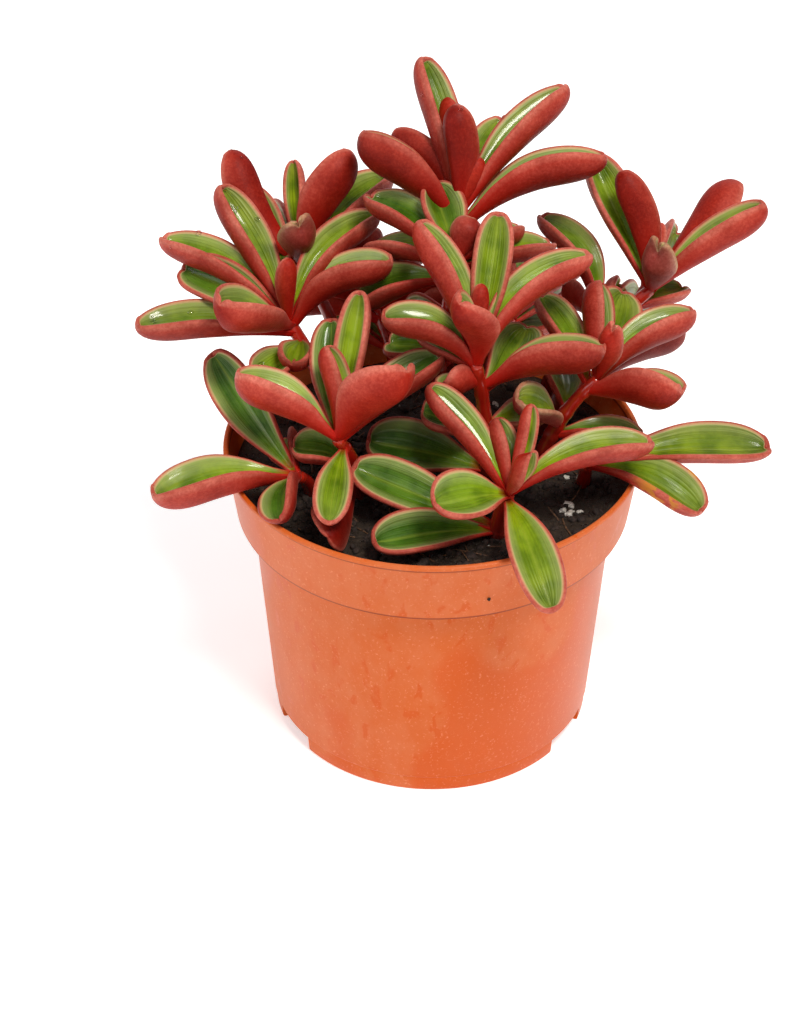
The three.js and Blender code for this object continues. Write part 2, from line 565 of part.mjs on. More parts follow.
/** The pot: thin wall, collar with a ledge, rounded lip, and a foot notched for drainage. */
function potSolid() {
  const ledge = POT.height - POT.bandHeight;
  const outside = turned([
    [0, 0],
    [POT.baseRadius - 0.6, 0],
    [POT.baseRadius, 0.6],
    [bodyRadius(DRAIN.height), DRAIN.height],
    [bodyRadius(DRAIN.height) + 0.25, DRAIN.height + 0.3],
    [POT.bodyTopRadius, ledge - 0.4],
    [POT.bandFootRadius - 0.5, ledge],
    [POT.bandFootRadius, ledge + 0.6],
    [bandRadius(POT.height - POT.lip) - 0.5, POT.height - POT.lip - 0.4],
    [POT.rimRadius, POT.height - POT.lip],
    [POT.rimRadius, POT.height - 0.4],
    [POT.rimRadius - 0.4, POT.height],
    [0, POT.height],
  ]);
  const channels = drainChannels(0);
  const covers = drainChannels(POT.wall);
  const cavity = innerProfile(0, POT.height - 0.5);
  cavity.splice(-1, 1, [POT.rimRadius - POT.lip + 0.1, POT.height + 1], [0, POT.height + 1]);
  let inside = solidOf(turned(cavity));
  covers.forEach((cover) => (inside = inside.subtract(cover)));
  let pot = solidOf(outside).subtract(inside);
  channels.forEach((channel) => (pot = pot.subtract(channel)));
  return drainHoles().reduce((whole, hole) => whole.subtract(hole), pot);
}

/** A round hole up through each drain channel's ceiling. */
function drainHoles() {
  return DRAIN.channels.map((degrees) => {
    const middle = -THREE.MathUtils.degToRad(degrees);
    const hole = new THREE.CylinderGeometry(DRAIN.holeRadius, DRAIN.holeRadius, 6, 12);
    hole.rotateX(Math.PI / 2);
    hole.translate(DRAIN.holeAt * Math.cos(middle), DRAIN.holeAt * Math.sin(middle), 6);
    return solidOf(hole);
  });
}

/** The potting mix: fills the pot, lumpy on top, with a plain hole for each stem. */
function soilSolid() {
  const profile = innerProfile(CLEARANCE, SOIL.level);
  const rim = profile[profile.length - 2][0];
  profile.pop();
  for (let i = SOIL.rings - 1; i >= 0; i--) profile.push([(rim * i) / SOIL.rings, SOIL.level]);
  const geometry = turned(profile, SOIL.segments);
  const place = geometry.attributes.position;
  for (let i = 0; i < place.count; i++) {
    const [x, y, z] = [place.getX(i), place.getY(i), place.getZ(i)];
    const inwards = 1 - Math.hypot(x, y) / rim;
    if (z < SOIL.level - 0.01 || inwards < 0.01) continue;
    place.setZ(i, z + SOIL.lumps * Math.sin(x * 0.31 + 1) * Math.cos(y * 0.27 + x * 0.12));
  }
  let soil = solidOf(geometry);
  drainChannels(POT.wall + CLEARANCE).forEach((cover) => (soil = soil.subtract(cover)));
  for (const stem of Object.values(STEMS)) {
    const radius = stem.radius + 2 * CLEARANCE;
    const depth = STEM.buried + CLEARANCE + 3;
    const hole = new THREE.CylinderGeometry(radius, radius, depth, STEM.holeSides).rotateX(Math.PI / 2);
    hole.translate(stem.foot[0], stem.foot[1], SOIL.level - STEM.buried - CLEARANCE + depth / 2);
    soil = soil.subtract(solidOf(hole));
  }
  return soil;
}

// ---------------------------------------------------------------- the assembly
const PLASTIC = new THREE.MeshStandardMaterial({ color: 0xe67346, roughness: 0.45, metalness: 0 });
const PEAT = new THREE.MeshStandardMaterial({ color: 0x2a201c, roughness: 0.95, metalness: 0 });
const FOLIAGE = new THREE.MeshStandardMaterial({ color: 0x8a5a34, roughness: 0.35, metalness: 0 });

const plant = new THREE.Group();
plant.name = "potted_peperomia";

/** A named mesh of a solid. */
function addPiece(name, solid, material) {
  const mesh = new THREE.Mesh(geometryOf(solid), material);
  mesh.name = name;
  plant.add(mesh);
}

addPiece("pot", potSolid(), PLASTIC);
addPiece("soil", soilSolid(), PEAT);
for (const [node, names] of Object.entries(GROWTH)) {
  const grown = names.map(leafyStem).reduce((whole, part) => whole.add(part));
  addPiece(node, outerBody(node, grown), FOLIAGE);
}

export default plant;
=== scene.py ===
"""Looks of a potted peperomia: fleshy boat-shaped leaves on red stems in a moulded nursery pot.

Lengths are millimetres, as a grower would measure them, and MM turns them to metres.
"""

import json
import logging
import math
from dataclasses import dataclass, field
from enum import Enum
from typing import Any, Sequence

import bmesh
import bpy
import numpy as np
from mathutils import Matrix, Vector, noise

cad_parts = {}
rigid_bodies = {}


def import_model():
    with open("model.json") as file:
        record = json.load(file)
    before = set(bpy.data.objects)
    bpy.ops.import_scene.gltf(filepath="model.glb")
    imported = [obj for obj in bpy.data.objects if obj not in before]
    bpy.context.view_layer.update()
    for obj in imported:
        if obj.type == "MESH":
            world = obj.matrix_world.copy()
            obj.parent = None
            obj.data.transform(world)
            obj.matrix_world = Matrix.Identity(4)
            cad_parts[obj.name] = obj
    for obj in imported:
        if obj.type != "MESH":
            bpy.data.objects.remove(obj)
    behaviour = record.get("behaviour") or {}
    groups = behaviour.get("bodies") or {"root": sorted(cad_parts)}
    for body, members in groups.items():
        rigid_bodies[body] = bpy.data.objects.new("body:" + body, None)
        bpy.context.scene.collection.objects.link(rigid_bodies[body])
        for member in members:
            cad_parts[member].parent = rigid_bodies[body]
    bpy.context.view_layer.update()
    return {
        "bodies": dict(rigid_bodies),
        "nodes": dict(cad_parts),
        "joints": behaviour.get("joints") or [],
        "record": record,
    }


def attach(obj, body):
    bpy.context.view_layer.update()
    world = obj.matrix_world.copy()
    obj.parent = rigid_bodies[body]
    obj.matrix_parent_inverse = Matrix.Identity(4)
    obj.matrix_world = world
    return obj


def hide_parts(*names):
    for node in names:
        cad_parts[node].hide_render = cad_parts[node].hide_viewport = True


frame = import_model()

LOG = logging.getLogger("peperomia")
MM = 0.001
BODY = "root"

Vec = np.ndarray
Material = bpy.types.Material
Node = bpy.types.Node
Piece = bpy.types.Object
Source = Any  # a node (its first output), a (node, output) pair, or a plain value


def unit(v: Vec) -> Vec:
    """Returns a vector scaled to length one."""
    return v / np.linalg.norm(v)


def smooth(low: float, high: float, x: Vec) -> Vec:
    """Returns a soft step from 0 at low to 1 at high."""
    t = np.clip((np.asarray(x, float) - low) / (high - low), 0.0, 1.0)
    return t * t * (3.0 - 2.0 * t)


def circle(count: int) -> Vec:
    """Returns evenly spaced angles round a whole turn."""
    return np.linspace(0, 2 * math.pi, count, endpoint=False)


def compass(heading: float, rise: float) -> Vec:
    """Returns a unit step, by its heading from the viewer's side and its rise, in degrees."""
    turn, lift = math.radians(heading), math.radians(rise)
    level = math.cos(lift)
    return np.array([level * math.sin(turn), -level * math.cos(turn), math.sin(lift)])


# ------------------------------------------------------------------ the viewpoint


@dataclass(frozen=True)
class Viewpoint:
    """Where the plant is seen from, and the pixels of that 796 x 1024 view.

    Stem heads and leaf tips are given where they are seen, as a pixel and how many mm nearer
    than the pot's middle they are. The same viewpoint places the camera.
    """

    distance: float = 668.0  # mm, from the eye to the point it looks at
    target: float = 66.4  # mm, the height of that point on the pot's axis
    down: float = math.radians(36.75)
    turn: float = math.radians(-0.86)
    tilt: float = math.radians(0.57)
    focal: float = 2279.0  # pixels
    middle: tuple[float, float] = (398.0, 512.0)
    picture: tuple[int, int] = (796, 1024)
    sensor: float = 36.0  # mm, along the picture's longer side

    def eye(self) -> Vec:
        """Returns the eye's place, in mm."""
        level, rise = math.cos(self.down), math.sin(self.down)
        return np.array([0.0, -self.distance * level, self.target + self.distance * rise])

    def axes(self) -> tuple[Vec, Vec, Vec]:
        """Returns the view's forward, right and up directions."""
        level = np.array([0.0, math.cos(self.down), -math.sin(self.down)])
        side = np.array([1.0, 0.0, 0.0])
        above = np.cross(side, level)
        forward = level * math.cos(self.turn) + side * math.sin(self.turn)
        across = side * math.cos(self.turn) - level * math.sin(self.turn)
        right = across * math.cos(self.tilt) + above * math.sin(self.tilt)
        up = above * math.cos(self.tilt) - across * math.sin(self.tilt)
        return forward, right, up

    def seen(self, pixel: tuple[float, float], nearer: float) -> Vec:
        """Finds the point that is seen at a pixel.

        Args:
            pixel: Column and row in the view.
            nearer: How many mm nearer than the pot's middle the point is.

        Returns:
            The point, in mm.
        """
        forward, right, up = self.axes()
        ray = forward + right * (pixel[0] - self.middle[0]) / self.focal
        ray = ray + up * (self.middle[1] - pixel[1]) / self.focal
        return self.eye() + ray * (self.distance - nearer)

    def nearness(self, point: Vec) -> float:
        """Returns how many mm nearer than the pot's middle a point is."""
        return self.distance - float((point - self.eye()) @ self.axes()[0])


VIEW = Viewpoint()


# ------------------------------------------------------------------ the plant, as measured


@dataclass(frozen=True)
class Leaf:
    """One leaf.

    Attributes:
        up: How far up its stem it grows, 0 at the soil and 1 at the growing tip.
        half: Half its unfolded width, mm.
        fold: How far each lobe folds up, degrees.
        arch: Its bow as a share of its length.
        tip: The pixel where its tip is seen.
        near: How much nearer than its base its tip is, mm.
        face: Angle of the green face from the eye towards the stem; none faces the stem.
        heading: For a hidden leaf, its compass heading from the viewer's side, degrees.
        rise: For a hidden leaf, its rise from level, degrees.
        length: For a hidden leaf, its length, mm.
        age: 0 for young leaves, bright and rosy, to 1 for the oldest, dark green. Below 0 the
            keel turns to the mauve of a heart.
        notch: How far the lobes reach past the midrib at the tip, as a share of a lobe's width.
        scar: How much of its keel is tan with healed scratches, 0 to 1.
    """

    up: float
    half: float
    fold: float
    arch: float
    tip: tuple[float, float] | None = None
    near: float = 0.0
    face: float | None = None
    heading: float = 0.0
    rise: float = 0.0
    length: float = 0.0
    age: float | None = None
    notch: float = 0.02
    scar: float = 0.0

    @property
    def young(self) -> bool:
        """Whether the leaf is one of the small inner ones, under 11 mm wide."""
        return self.half < 5.5

    @property
    def ripeness(self) -> float:
        """Its age, as given or from how high on its stem it grows."""
        if self.age is not None:
            return self.age
        return 0.0 if self.young else 0.3 + 0.65 * float(smooth(1.0, 0.3, np.array(self.up)))


@dataclass(frozen=True)
class Stem:
    """One stem: its foot on the soil, its head where it is seen or stands, and its leaves.

    Attributes:
        foot: x and y of the foot on the soil, mm.
        radius: Radius at the foot, mm.
        leaves: The leaves that grow from it.
        head: The pixel where the growing tip is seen.
        near: How much nearer than the pot's middle the growing tip is, mm.
        at: For a hidden stem, where the growing tip is, mm.
    """

    foot: tuple[float, float]
    radius: float
    leaves: tuple[Leaf, ...]
    head: tuple[float, float] = (0.0, 0.0)
    near: float = 0.0
    at: tuple[float, float, float] | None = None


# The plain numbers of each leaf are up, half, fold, arch, tip, near and face.
STEMS: dict[str, Stem] = {
    "left": Stem(
        foot=(-26, 6), radius=2.6, head=(289, 322), near=22,
        leaves=(
            Leaf(0.97, 8.5, 60, 0.1, (166, 243), -6, 57),
            Leaf(1, 8.5, 62, 0, (219, 187), -4, -52, age=0.1),
            Leaf(1, 8, 65, 0, (251, 187), -26, -42, age=0.3),
            Leaf(1, 8, 65, 0.12, (373, 219), -8, 48),
            Leaf(0.95, 7.5, 65, 0.1, (378, 238), -16, 92),
            Leaf(0.95, 10, 60, 0.15, (382, 268), 11, 80, age=0.5),
            Leaf(1, 4, 80, 0, (288, 259), 12, 120),
            Leaf(0.97, 12, 66, 0, (222, 306), 26, 80),
            Leaf(0.9, 9.5, 52, 0.05, (139, 328), 8, 66, age=0.4),
            Leaf(0.93, 8.5, 45, 0.1, (186, 271), -4, 15, age=0.9),
            Leaf(0.85, 7, 65, 0, (292, 364), 11, 12),
            Leaf(0.8, 7, 45, 0, (256, 378), 10, 35),
        ),
    ),
    "left_rear": Stem(
        foot=(-22, 26), radius=2.4, head=(300, 262), near=10,
        leaves=(
            Leaf(1, 8.5, 78, 0.08, (234, 156), 2, 112, age=0.6),
            Leaf(1, 4.4, 72, 0, (294, 161), -14, 20, age=0),
            Leaf(1, 10, 75, 0.05, (349, 158), 8, 108, age=0.65),
            Leaf(0.95, 9.5, 62, 0.1, (384, 180), -11, 47),
            Leaf(1, 7.6, 62, 0, (299, 222), 22, 150, age=-0.7, notch=0.65),
            Leaf(0.95, 8, 55, 0.1, (262, 215), -30),
            Leaf(0.9, 8, 50, 0.1, (320, 230), -32),
        ),
    ),
    "top": Stem(
        foot=(3, 22), radius=2.6, head=(459, 215), near=25,
        leaves=(
            Leaf(1, 8, 60, 0, (421, 58), -6, 50, age=0.3),
            Leaf(1, 7, 78, 0.03, (455, 108), 10, 135, age=0.7),
            Leaf(1, 5, 75, 0, (447, 97), -8, 120),
            Leaf(0.95, 10.5, 72, 0.05, (364, 141), 8, 88, age=0.85),
            Leaf(1, 7, 70, 0.1, (396, 138), -12, 98, age=0.8),
            Leaf(1, 8.5, 65, 0.06, (565, 91), -4, 66, age=0.25),
            Leaf(1, 7, 60, 0.05, (502, 121), -16, 40),
            Leaf(1, 3.5, 80, 0, (481, 158), 4, 120),
            Leaf(0.9, 9.5, 68, 0.12, (598, 163), 4, 75, age=0.9),
            Leaf(0.5, 8, 45, 0.05, (404, 322), -16, 40),
            Leaf(0.45, 8, 45, 0.05, (522, 292), -12, 40),
        ),
    ),
    "middle_rear": Stem(
        foot=(0, 8), radius=2.4, head=(455, 262), near=33,
        leaves=(
            Leaf(1, 8, 45, 0, (434, 184), -6, 28, age=0.7),
            Leaf(1, 9, 50, 0.08, (373, 200), -9, 52, age=0.9),
            Leaf(0.9, 9, 50, 0.1, (362, 302), -8, 60, age=0.9),
            Leaf(1, 6, 75, 0, (473, 221), 2, 140, age=-0.4),
            Leaf(0.95, 8, 45, 0.1, (372, 250), -12),
            Leaf(1, 6, 60, 0.05, (519, 231), -12, 60),
            Leaf(0.95, 7.5, 50, 0.06, (549, 247), -13, 60),
            Leaf(0.5, 8, 42, 0.05, (392, 344), -4, 40),
            Leaf(0.4, 7.5, 42, 0.05, (470, 330), -8, 30),
        ),
    ),
    "right_rear": Stem(
        foot=(32, 16), radius=2.5, head=(650, 290), near=15,
        leaves=(
            Leaf(1, 8, 58, 0, (592, 156), -8, 26, age=0.3),
            Leaf(1, 6.8, 76, 0.08, (622, 176), 6, 130, age=0.6),
            Leaf(1, 3, 80, 0, (660, 223), -6, 90),
            Leaf(1, 7, 62, 0, (660, 243), 16, 150, age=-0.8, notch=0.9),
            Leaf(1, 10, 72, 0.02, (734, 184), -9, 88, age=0.35),
            Leaf(0.97, 8.5, 68, 0.02, (765, 208), 14, 74, age=0.1),
            Leaf(0.85, 7, 40, 0.05, (681, 289), -12, 50),
            Leaf(0.95, 8, 55, 0.1, (675, 235), -28),
            Leaf(0.95, 8, 55, 0.1, (632, 225), -28),
        ),
    ),
    "front_left": Stem(
        foot=(-20, -14), radius=2.6, head=(338, 440), near=40,
        leaves=(
            Leaf(1, 11, 62, 0.06, (242, 381), 6, 80, age=0.05),
            Leaf(1, 5.5, 70, 0.05, (325, 349), 6, -66, age=0),
            Leaf(1, 6.5, 45, 0, (332, 319), -10, 20, age=0.9),
            Leaf(1, 6, 62, 0, (361, 291), -2, 15, age=0.1),
            Leaf(1, 13, 50, 0.06, (402, 376), 16, 112, age=0),
            Leaf(0.95, 8.5, 55, 0.08, (438, 359), -2, 50, age=0.9),
            Leaf(0.8, 6, 35, 0.05, (329, 524), 22, 8, age=0.45),
            Leaf(0.95, 7, 50, 0.1, (358, 392), -20),
            Leaf(0.24, 8, 24, 0.05, (329, 537), 29, 150),
            Leaf(0.45, 7.5, 45, 0.05, (296, 448), 0, 40),
        ),
    ),
    "middle": Stem(
        foot=(16, -5), radius=2.6, head=(476, 365), near=42,
        leaves=(
            Leaf(1, 8.5, 66, 0.06, (419, 226), 3, 66),
            Leaf(1, 6.8, 50, 0, (499, 212), -2, 6),
            Leaf(1, 3.5, 80, 0, (482, 284), 6, 120),
            Leaf(1, 9, 62, 0.1, (462, 308), 20, 118, age=0.6),
            Leaf(1, 8, 66, 0.14, (585, 261), -2, 54),
            Leaf(0.93, 9, 55, 0.15, (391, 322), 8, 70, age=0.6),
            Leaf(0.75, 11.5, 58, 0.09, (595, 354), 8, 88, age=0.55),
            Leaf(0.7, 8, 40, 0.05, (527, 329), -14, 20),
            Leaf(0.8, 7, 60, 0.1, (450, 385), 5, 100),
            Leaf(0.95, 7, 50, 0.1, (430, 332), -12),
            Leaf(0.05, 9.5, 34, 0.03, (368, 441), 2, 24, age=1),
            Leaf(0.35, 8, 42, 0.05, (424, 412), 6, 40),
            Leaf(0.4, 6.5, 42, 0.05, (538, 414), -12, 40, age=-0.4),
        ),
    ),
    "right": Stem(
        foot=(30, -1), radius=2.6, head=(597, 380), near=30,
        leaves=(
            Leaf(1, 7, 72, 0, (597, 283), -4, 66),
            Leaf(1, 8.5, 38, 0.03, (622, 293), -12, 15),
            Leaf(1, 5, 68, 0, (614, 325), 14, 150, notch=0.8),
            Leaf(1, 9, 60, 0.08, (690, 317), -2, 68),
            Leaf(0.85, 11, 66, 0.05, (674, 392), 12, 92, age=0.55),
            Leaf(0.95, 8, 55, 0.08, (679, 338), -14, 80, age=0.8),
            Leaf(0.6, 7, 40, 0.05, (560, 368), -14, 20),
            Leaf(0.9, 7, 50, 0.05, (541, 298), -10, 40),
            Leaf(0.45, 8, 55, 0.08, (519, 402), 20, 60, age=-0.6),
            Leaf(0.35, 7.5, 50, 0.05, (640, 438), 3, 70),
        ),
    ),
    "front": Stem(
        foot=(18, -32), radius=2.6, head=(508, 495), near=48,
        leaves=(
            Leaf(1, 7, 60, 0.04, (429, 388), -2, 52, age=0.5),
            Leaf(0.1, 8.2, 34, 0.03, (353, 467), 0, 24, age=0.95),
            Leaf(0.97, 9, 42, 0.05, (436, 504), 18, 30, age=0.5),
            Leaf(0.05, 8.2, 40, 0.04, (374, 543), 14, 30, age=1),
            Leaf(1, 3.5, 75, 0, (531, 404), 4, 50),
            Leaf(1, 5, 60, 0, (530, 452), 14, 75, notch=0.5),
            Leaf(1, 8.5, 50, 0.1, (648, 446), -2, 62, age=0.25),
            Leaf(0.85, 7.4, 34, 0.15, (551, 609), 24, 14, age=0.3, notch=0),
            Leaf(0.97, 5.6, 62, 0.03, (495, 420), -3, 60),
            Leaf(0.95, 7, 50, 0.1, (520, 470), -26),
        ),
    ),
    "rim_left": Stem(
        foot=(-34, -14), radius=2.4, head=(299, 477), near=32,
        leaves=(
            Leaf(0.9, 8, 34, -0.03, (212, 351), -14, 22, age=1),
            Leaf(1, 12, 52, 0.06, (159, 497), 9, 68, age=0.3),
            Leaf(1, 7.5, 50, 0.1, (281, 518), 20, 60, age=1),
            Leaf(1, 6, 50, 0.1, (290, 440), -20),
        ),
    ),
    "rim_right": Stem(
        foot=(43, -8), radius=2.4, head=(588, 466), near=27,
        leaves=(
            Leaf(1, 9, 48, 0.1, (697, 510), 10, 48, age=0.5, scar=1),
            Leaf(1, 9, 44, 0.06, (767, 449), -4, 42, age=0.35),
        ),
    ),
    "right_inner": Stem(
        foot=(32, 32), radius=2.4, head=(596, 318), near=2,
        leaves=(
            Leaf(1, 8.5, 45, 0.18, (544, 223), 0, 60, age=0.6),
            Leaf(1, 6, 50, 0.05, (617, 285), -10, 40),
            Leaf(0.95, 7.5, 50, 0.1, (570, 298), -20),
            Leaf(0.95, 8, 50, 0.1, (640, 300), -26),
        ),
    ),
    "rear_left": Stem(
        foot=(-10, 38), radius=2.4, at=(-17, 49, 105),
        leaves=(
            Leaf(1, 8.5, 58, 0.08, heading=150, rise=16, length=33),
            Leaf(1, 9, 58, 0.08, heading=192, rise=20, length=35),
            Leaf(1, 8.5, 60, 0.08, heading=236, rise=18, length=33),
            Leaf(0.85, 9, 48, 0.1, heading=172, rise=-4, length=33),
            Leaf(0.8, 8.5, 48, 0.1, heading=215, rise=-2, length=33),
            Leaf(0.85, 8, 50, 0.1, heading=262, rise=6, length=30),
            Leaf(1, 5, 70, 0, heading=180, rise=50, length=22),
            Leaf(1, 7, 55, 0.08, heading=100, rise=22, length=28),
            Leaf(0.55, 8, 45, 0.08, heading=196, rise=-8, length=27),
            Leaf(1, 8, 60, 0.06, heading=285, rise=34, length=29),
            Leaf(0.5, 7.5, 45, 0.08, heading=236, rise=2, length=24),
        ),
    ),
    "rear_right": Stem(
        foot=(16, 42), radius=2.4, at=(23, 50, 102),
        leaves=(
            Leaf(1, 8.5, 58, 0.08, heading=136, rise=12, length=31),
            Leaf(1, 9, 58, 0.08, heading=178, rise=18, length=34),
            Leaf(1, 8.5, 60, 0.08, heading=222, rise=18, length=32),
            Leaf(0.85, 9, 48, 0.1, heading=156, rise=-5, length=32),
            Leaf(0.8, 8.5, 48, 0.1, heading=200, rise=-3, length=33),
            Leaf(0.9, 7, 50, 0.1, heading=262, rise=16, length=26),
            Leaf(1, 5, 70, 0, heading=190, rise=52, length=22),
            Leaf(1, 8, 60, 0.06, heading=120, rise=30, length=30),
            Leaf(0.55, 8, 45, 0.08, heading=140, rise=-8, length=27),
        ),
    ),
}

# Stems that grow together low down are one piece.
GROWTH: dict[str, tuple[str, ...]] = {
    "stems_left": ("left", "left_rear"),
    "stems_top": ("top", "middle_rear"),
}
ALONE = (
    "right_rear", "right_inner", "front_left", "rim_left", "middle", "right", "rim_right",
    "front", "rear_left", "rear_right",
)
GROWTH |= {f"stem_{name}": (name,) for name in ALONE}


# ------------------------------------------------------------------ materials


def linear(code: str) -> tuple[float, float, float, float]:
    """Turns an sRGB hex colour such as "#8DB52B" into linear red, green, blue and alpha."""
    parts = [int(code[i : i + 2], 16) / 255.0 for i in (1, 3, 5)]
    red, green, blue = (c / 12.92 if c <= 0.04045 else ((c + 0.055) / 1.055) ** 2.4 for c in parts)
    return red, green, blue, 1.0


def add(
    tree: bpy.types.NodeTree,
    kind: str,
    links: dict[str | int, Source] | None = None,
    stops: Sequence[tuple[float, Any]] = (),
    **settings: Any,
) -> Node:
    """Adds a shader node with its settings and links.

    Args:
        tree: The material's node tree.
        kind: The node's type.
        links: The source of each input, by name or number. A hex colour is turned to linear.
        stops: For a colour ramp, each position with a hex colour or a grey level.
        settings: The node's own properties.

    Returns:
        The new node.
    """
    node = tree.nodes.new("ShaderNode" + kind)
    for name, value in settings.items():
        setattr(node, name, value)
    if stops:
        ramp = node.color_ramp
        while len(ramp.elements) < len(stops):
            ramp.elements.new(1.0)
        for element, (place, shade) in zip(ramp.elements, stops):
            element.position = place
            element.color = linear(shade) if isinstance(shade, str) else (shade, shade, shade, 1.0)
    for name, value in (links or {}).items():
        source = (value, 0) if isinstance(value, Node) else value
        if isinstance(source, tuple) and isinstance(source[0], Node):
            tree.links.new(source[0].outputs[source[1]], node.inputs[name])
        else:
            node.inputs[name].default_value = linear(value) if isinstance(value, str) else value
    return node


class Mixing(Enum):
    """How one colour goes over another."""

    OVER = "MIX"
    MULTIPLY = "MULTIPLY"
    SCREEN = "SCREEN"


class Joining(Enum):
    """How two values become one."""

    TIMES = "MULTIPLY"
    LESS = "SUBTRACT"
    MOST = "MAXIMUM"


class Shading:
    """One material, put together node by node."""

    def __init__(self, name: str) -> None:
        """Starts an empty material."""
        self.material = bpy.data.materials.new(name)
        self.material.use_nodes = True
        self.tree = self.material.node_tree
        self.tree.nodes.clear()

    def attribute(self, name: str) -> tuple[Node, str]:
        """Returns a value that the mesh carries for each point."""
        return add(self.tree, "Attribute", attribute_name=name), "Fac"

    def place(self) -> tuple[Node, str]:
        """Returns the object's own coordinates."""
        return add(self.tree, "TexCoord"), "Object"

    def scaled(self, vector: Source, scale: tuple[float, float, float]) -> Node:
        """Returns coordinates scaled by their own factors."""
        return add(self.tree, "Mapping", {"Vector": vector, "Scale": scale})

    def noise(
        self, size: float, detail: float, rough: float = 0.5, place: Source = None, warp: float = 0.0
    ) -> Node:
        """Adds a noise pattern.

        Args:
            size: The size of its largest spots, mm.
            detail: Number of finer octaves.
            rough: How strong the finer octaves are.
            place: Its coordinates, or None for the object's own.
            warp: How much it is distorted.

        Returns:
            The noise node.
        """
        vector = self.place() if place is None else place
        links = {"Vector": vector, "Scale": 1.0 / (size * MM), "Detail": detail}
        return add(self.tree, "TexNoise", {**links, "Roughness": rough, "Distortion": warp})

    def ramp(self, source: Source, *stops: tuple[float, Any]) -> Node:
        """Turns a value into colours or grey levels, by their positions."""
        return add(self.tree, "ValToRGB", {"Fac": source}, stops)

    def join(self, how: Joining, one: Source, other: Source) -> Node:
        """Works one value out of two."""
        return add(self.tree, "Math", {0: one, 1: other}, operation=how.value)

    def mix(self, way: Mixing, amount: Source, under: Source, over: Source) -> tuple[Node, int]:
        """Lays one colour over another.

        Args:
            way: How they are mixed.
            amount: The share of the upper colour.
            under: The lower colour.
            over: The upper colour.

        Returns:
            The mix node and the number of its colour output.
        """
        links = {0: amount, 6: under, 7: over}
        kind = {"data_type": "RGBA", "blend_type": way.value, "clamp_factor": True}
        return add(self.tree, "Mix", links, **kind), 2

    def layers(self, colour: Source, *coats: tuple[Any, ...]) -> Source:
        """Lays plain colours over one another.

        Args:
            colour: The lowest colour.
            coats: Each has its way of mixing, its colour, a source and the source's ramp, which
                says where the coat covers.

        Returns:
            The colour.
        """
        for way, shade, source, *stops in coats:
            colour = self.mix(way, self.ramp(source, *stops), colour, shade)
        return colour

    def bump(self, height: Source, depth: float, strength: Source, **more: Source) -> Node:
        """Lets a pattern stand out of the surface, by a depth in mm at full strength."""
        links = {"Strength": strength, "Distance": depth * MM, "Height": height, **more}
        return add(self.tree, "Bump", links)

    def finish(self, colour: Source, roughness: Source, **sockets: Source) -> Material:
        """Closes the material with its principled shader and output.

        Args:
            colour: The base colour.
            roughness: The roughness.
            sockets: What goes into the shader's other sockets, with _ for each space.

        Returns:
            The material.
        """
        links = {"Base Color": colour, "Roughness": roughness}
        links |= {name.replace("_", " "): value for name, value in sockets.items()}
        shader = add(self.tree, "BsdfPrincipled", links)
        add(self.tree, "OutputMaterial", {"Surface": shader})
        return self.material


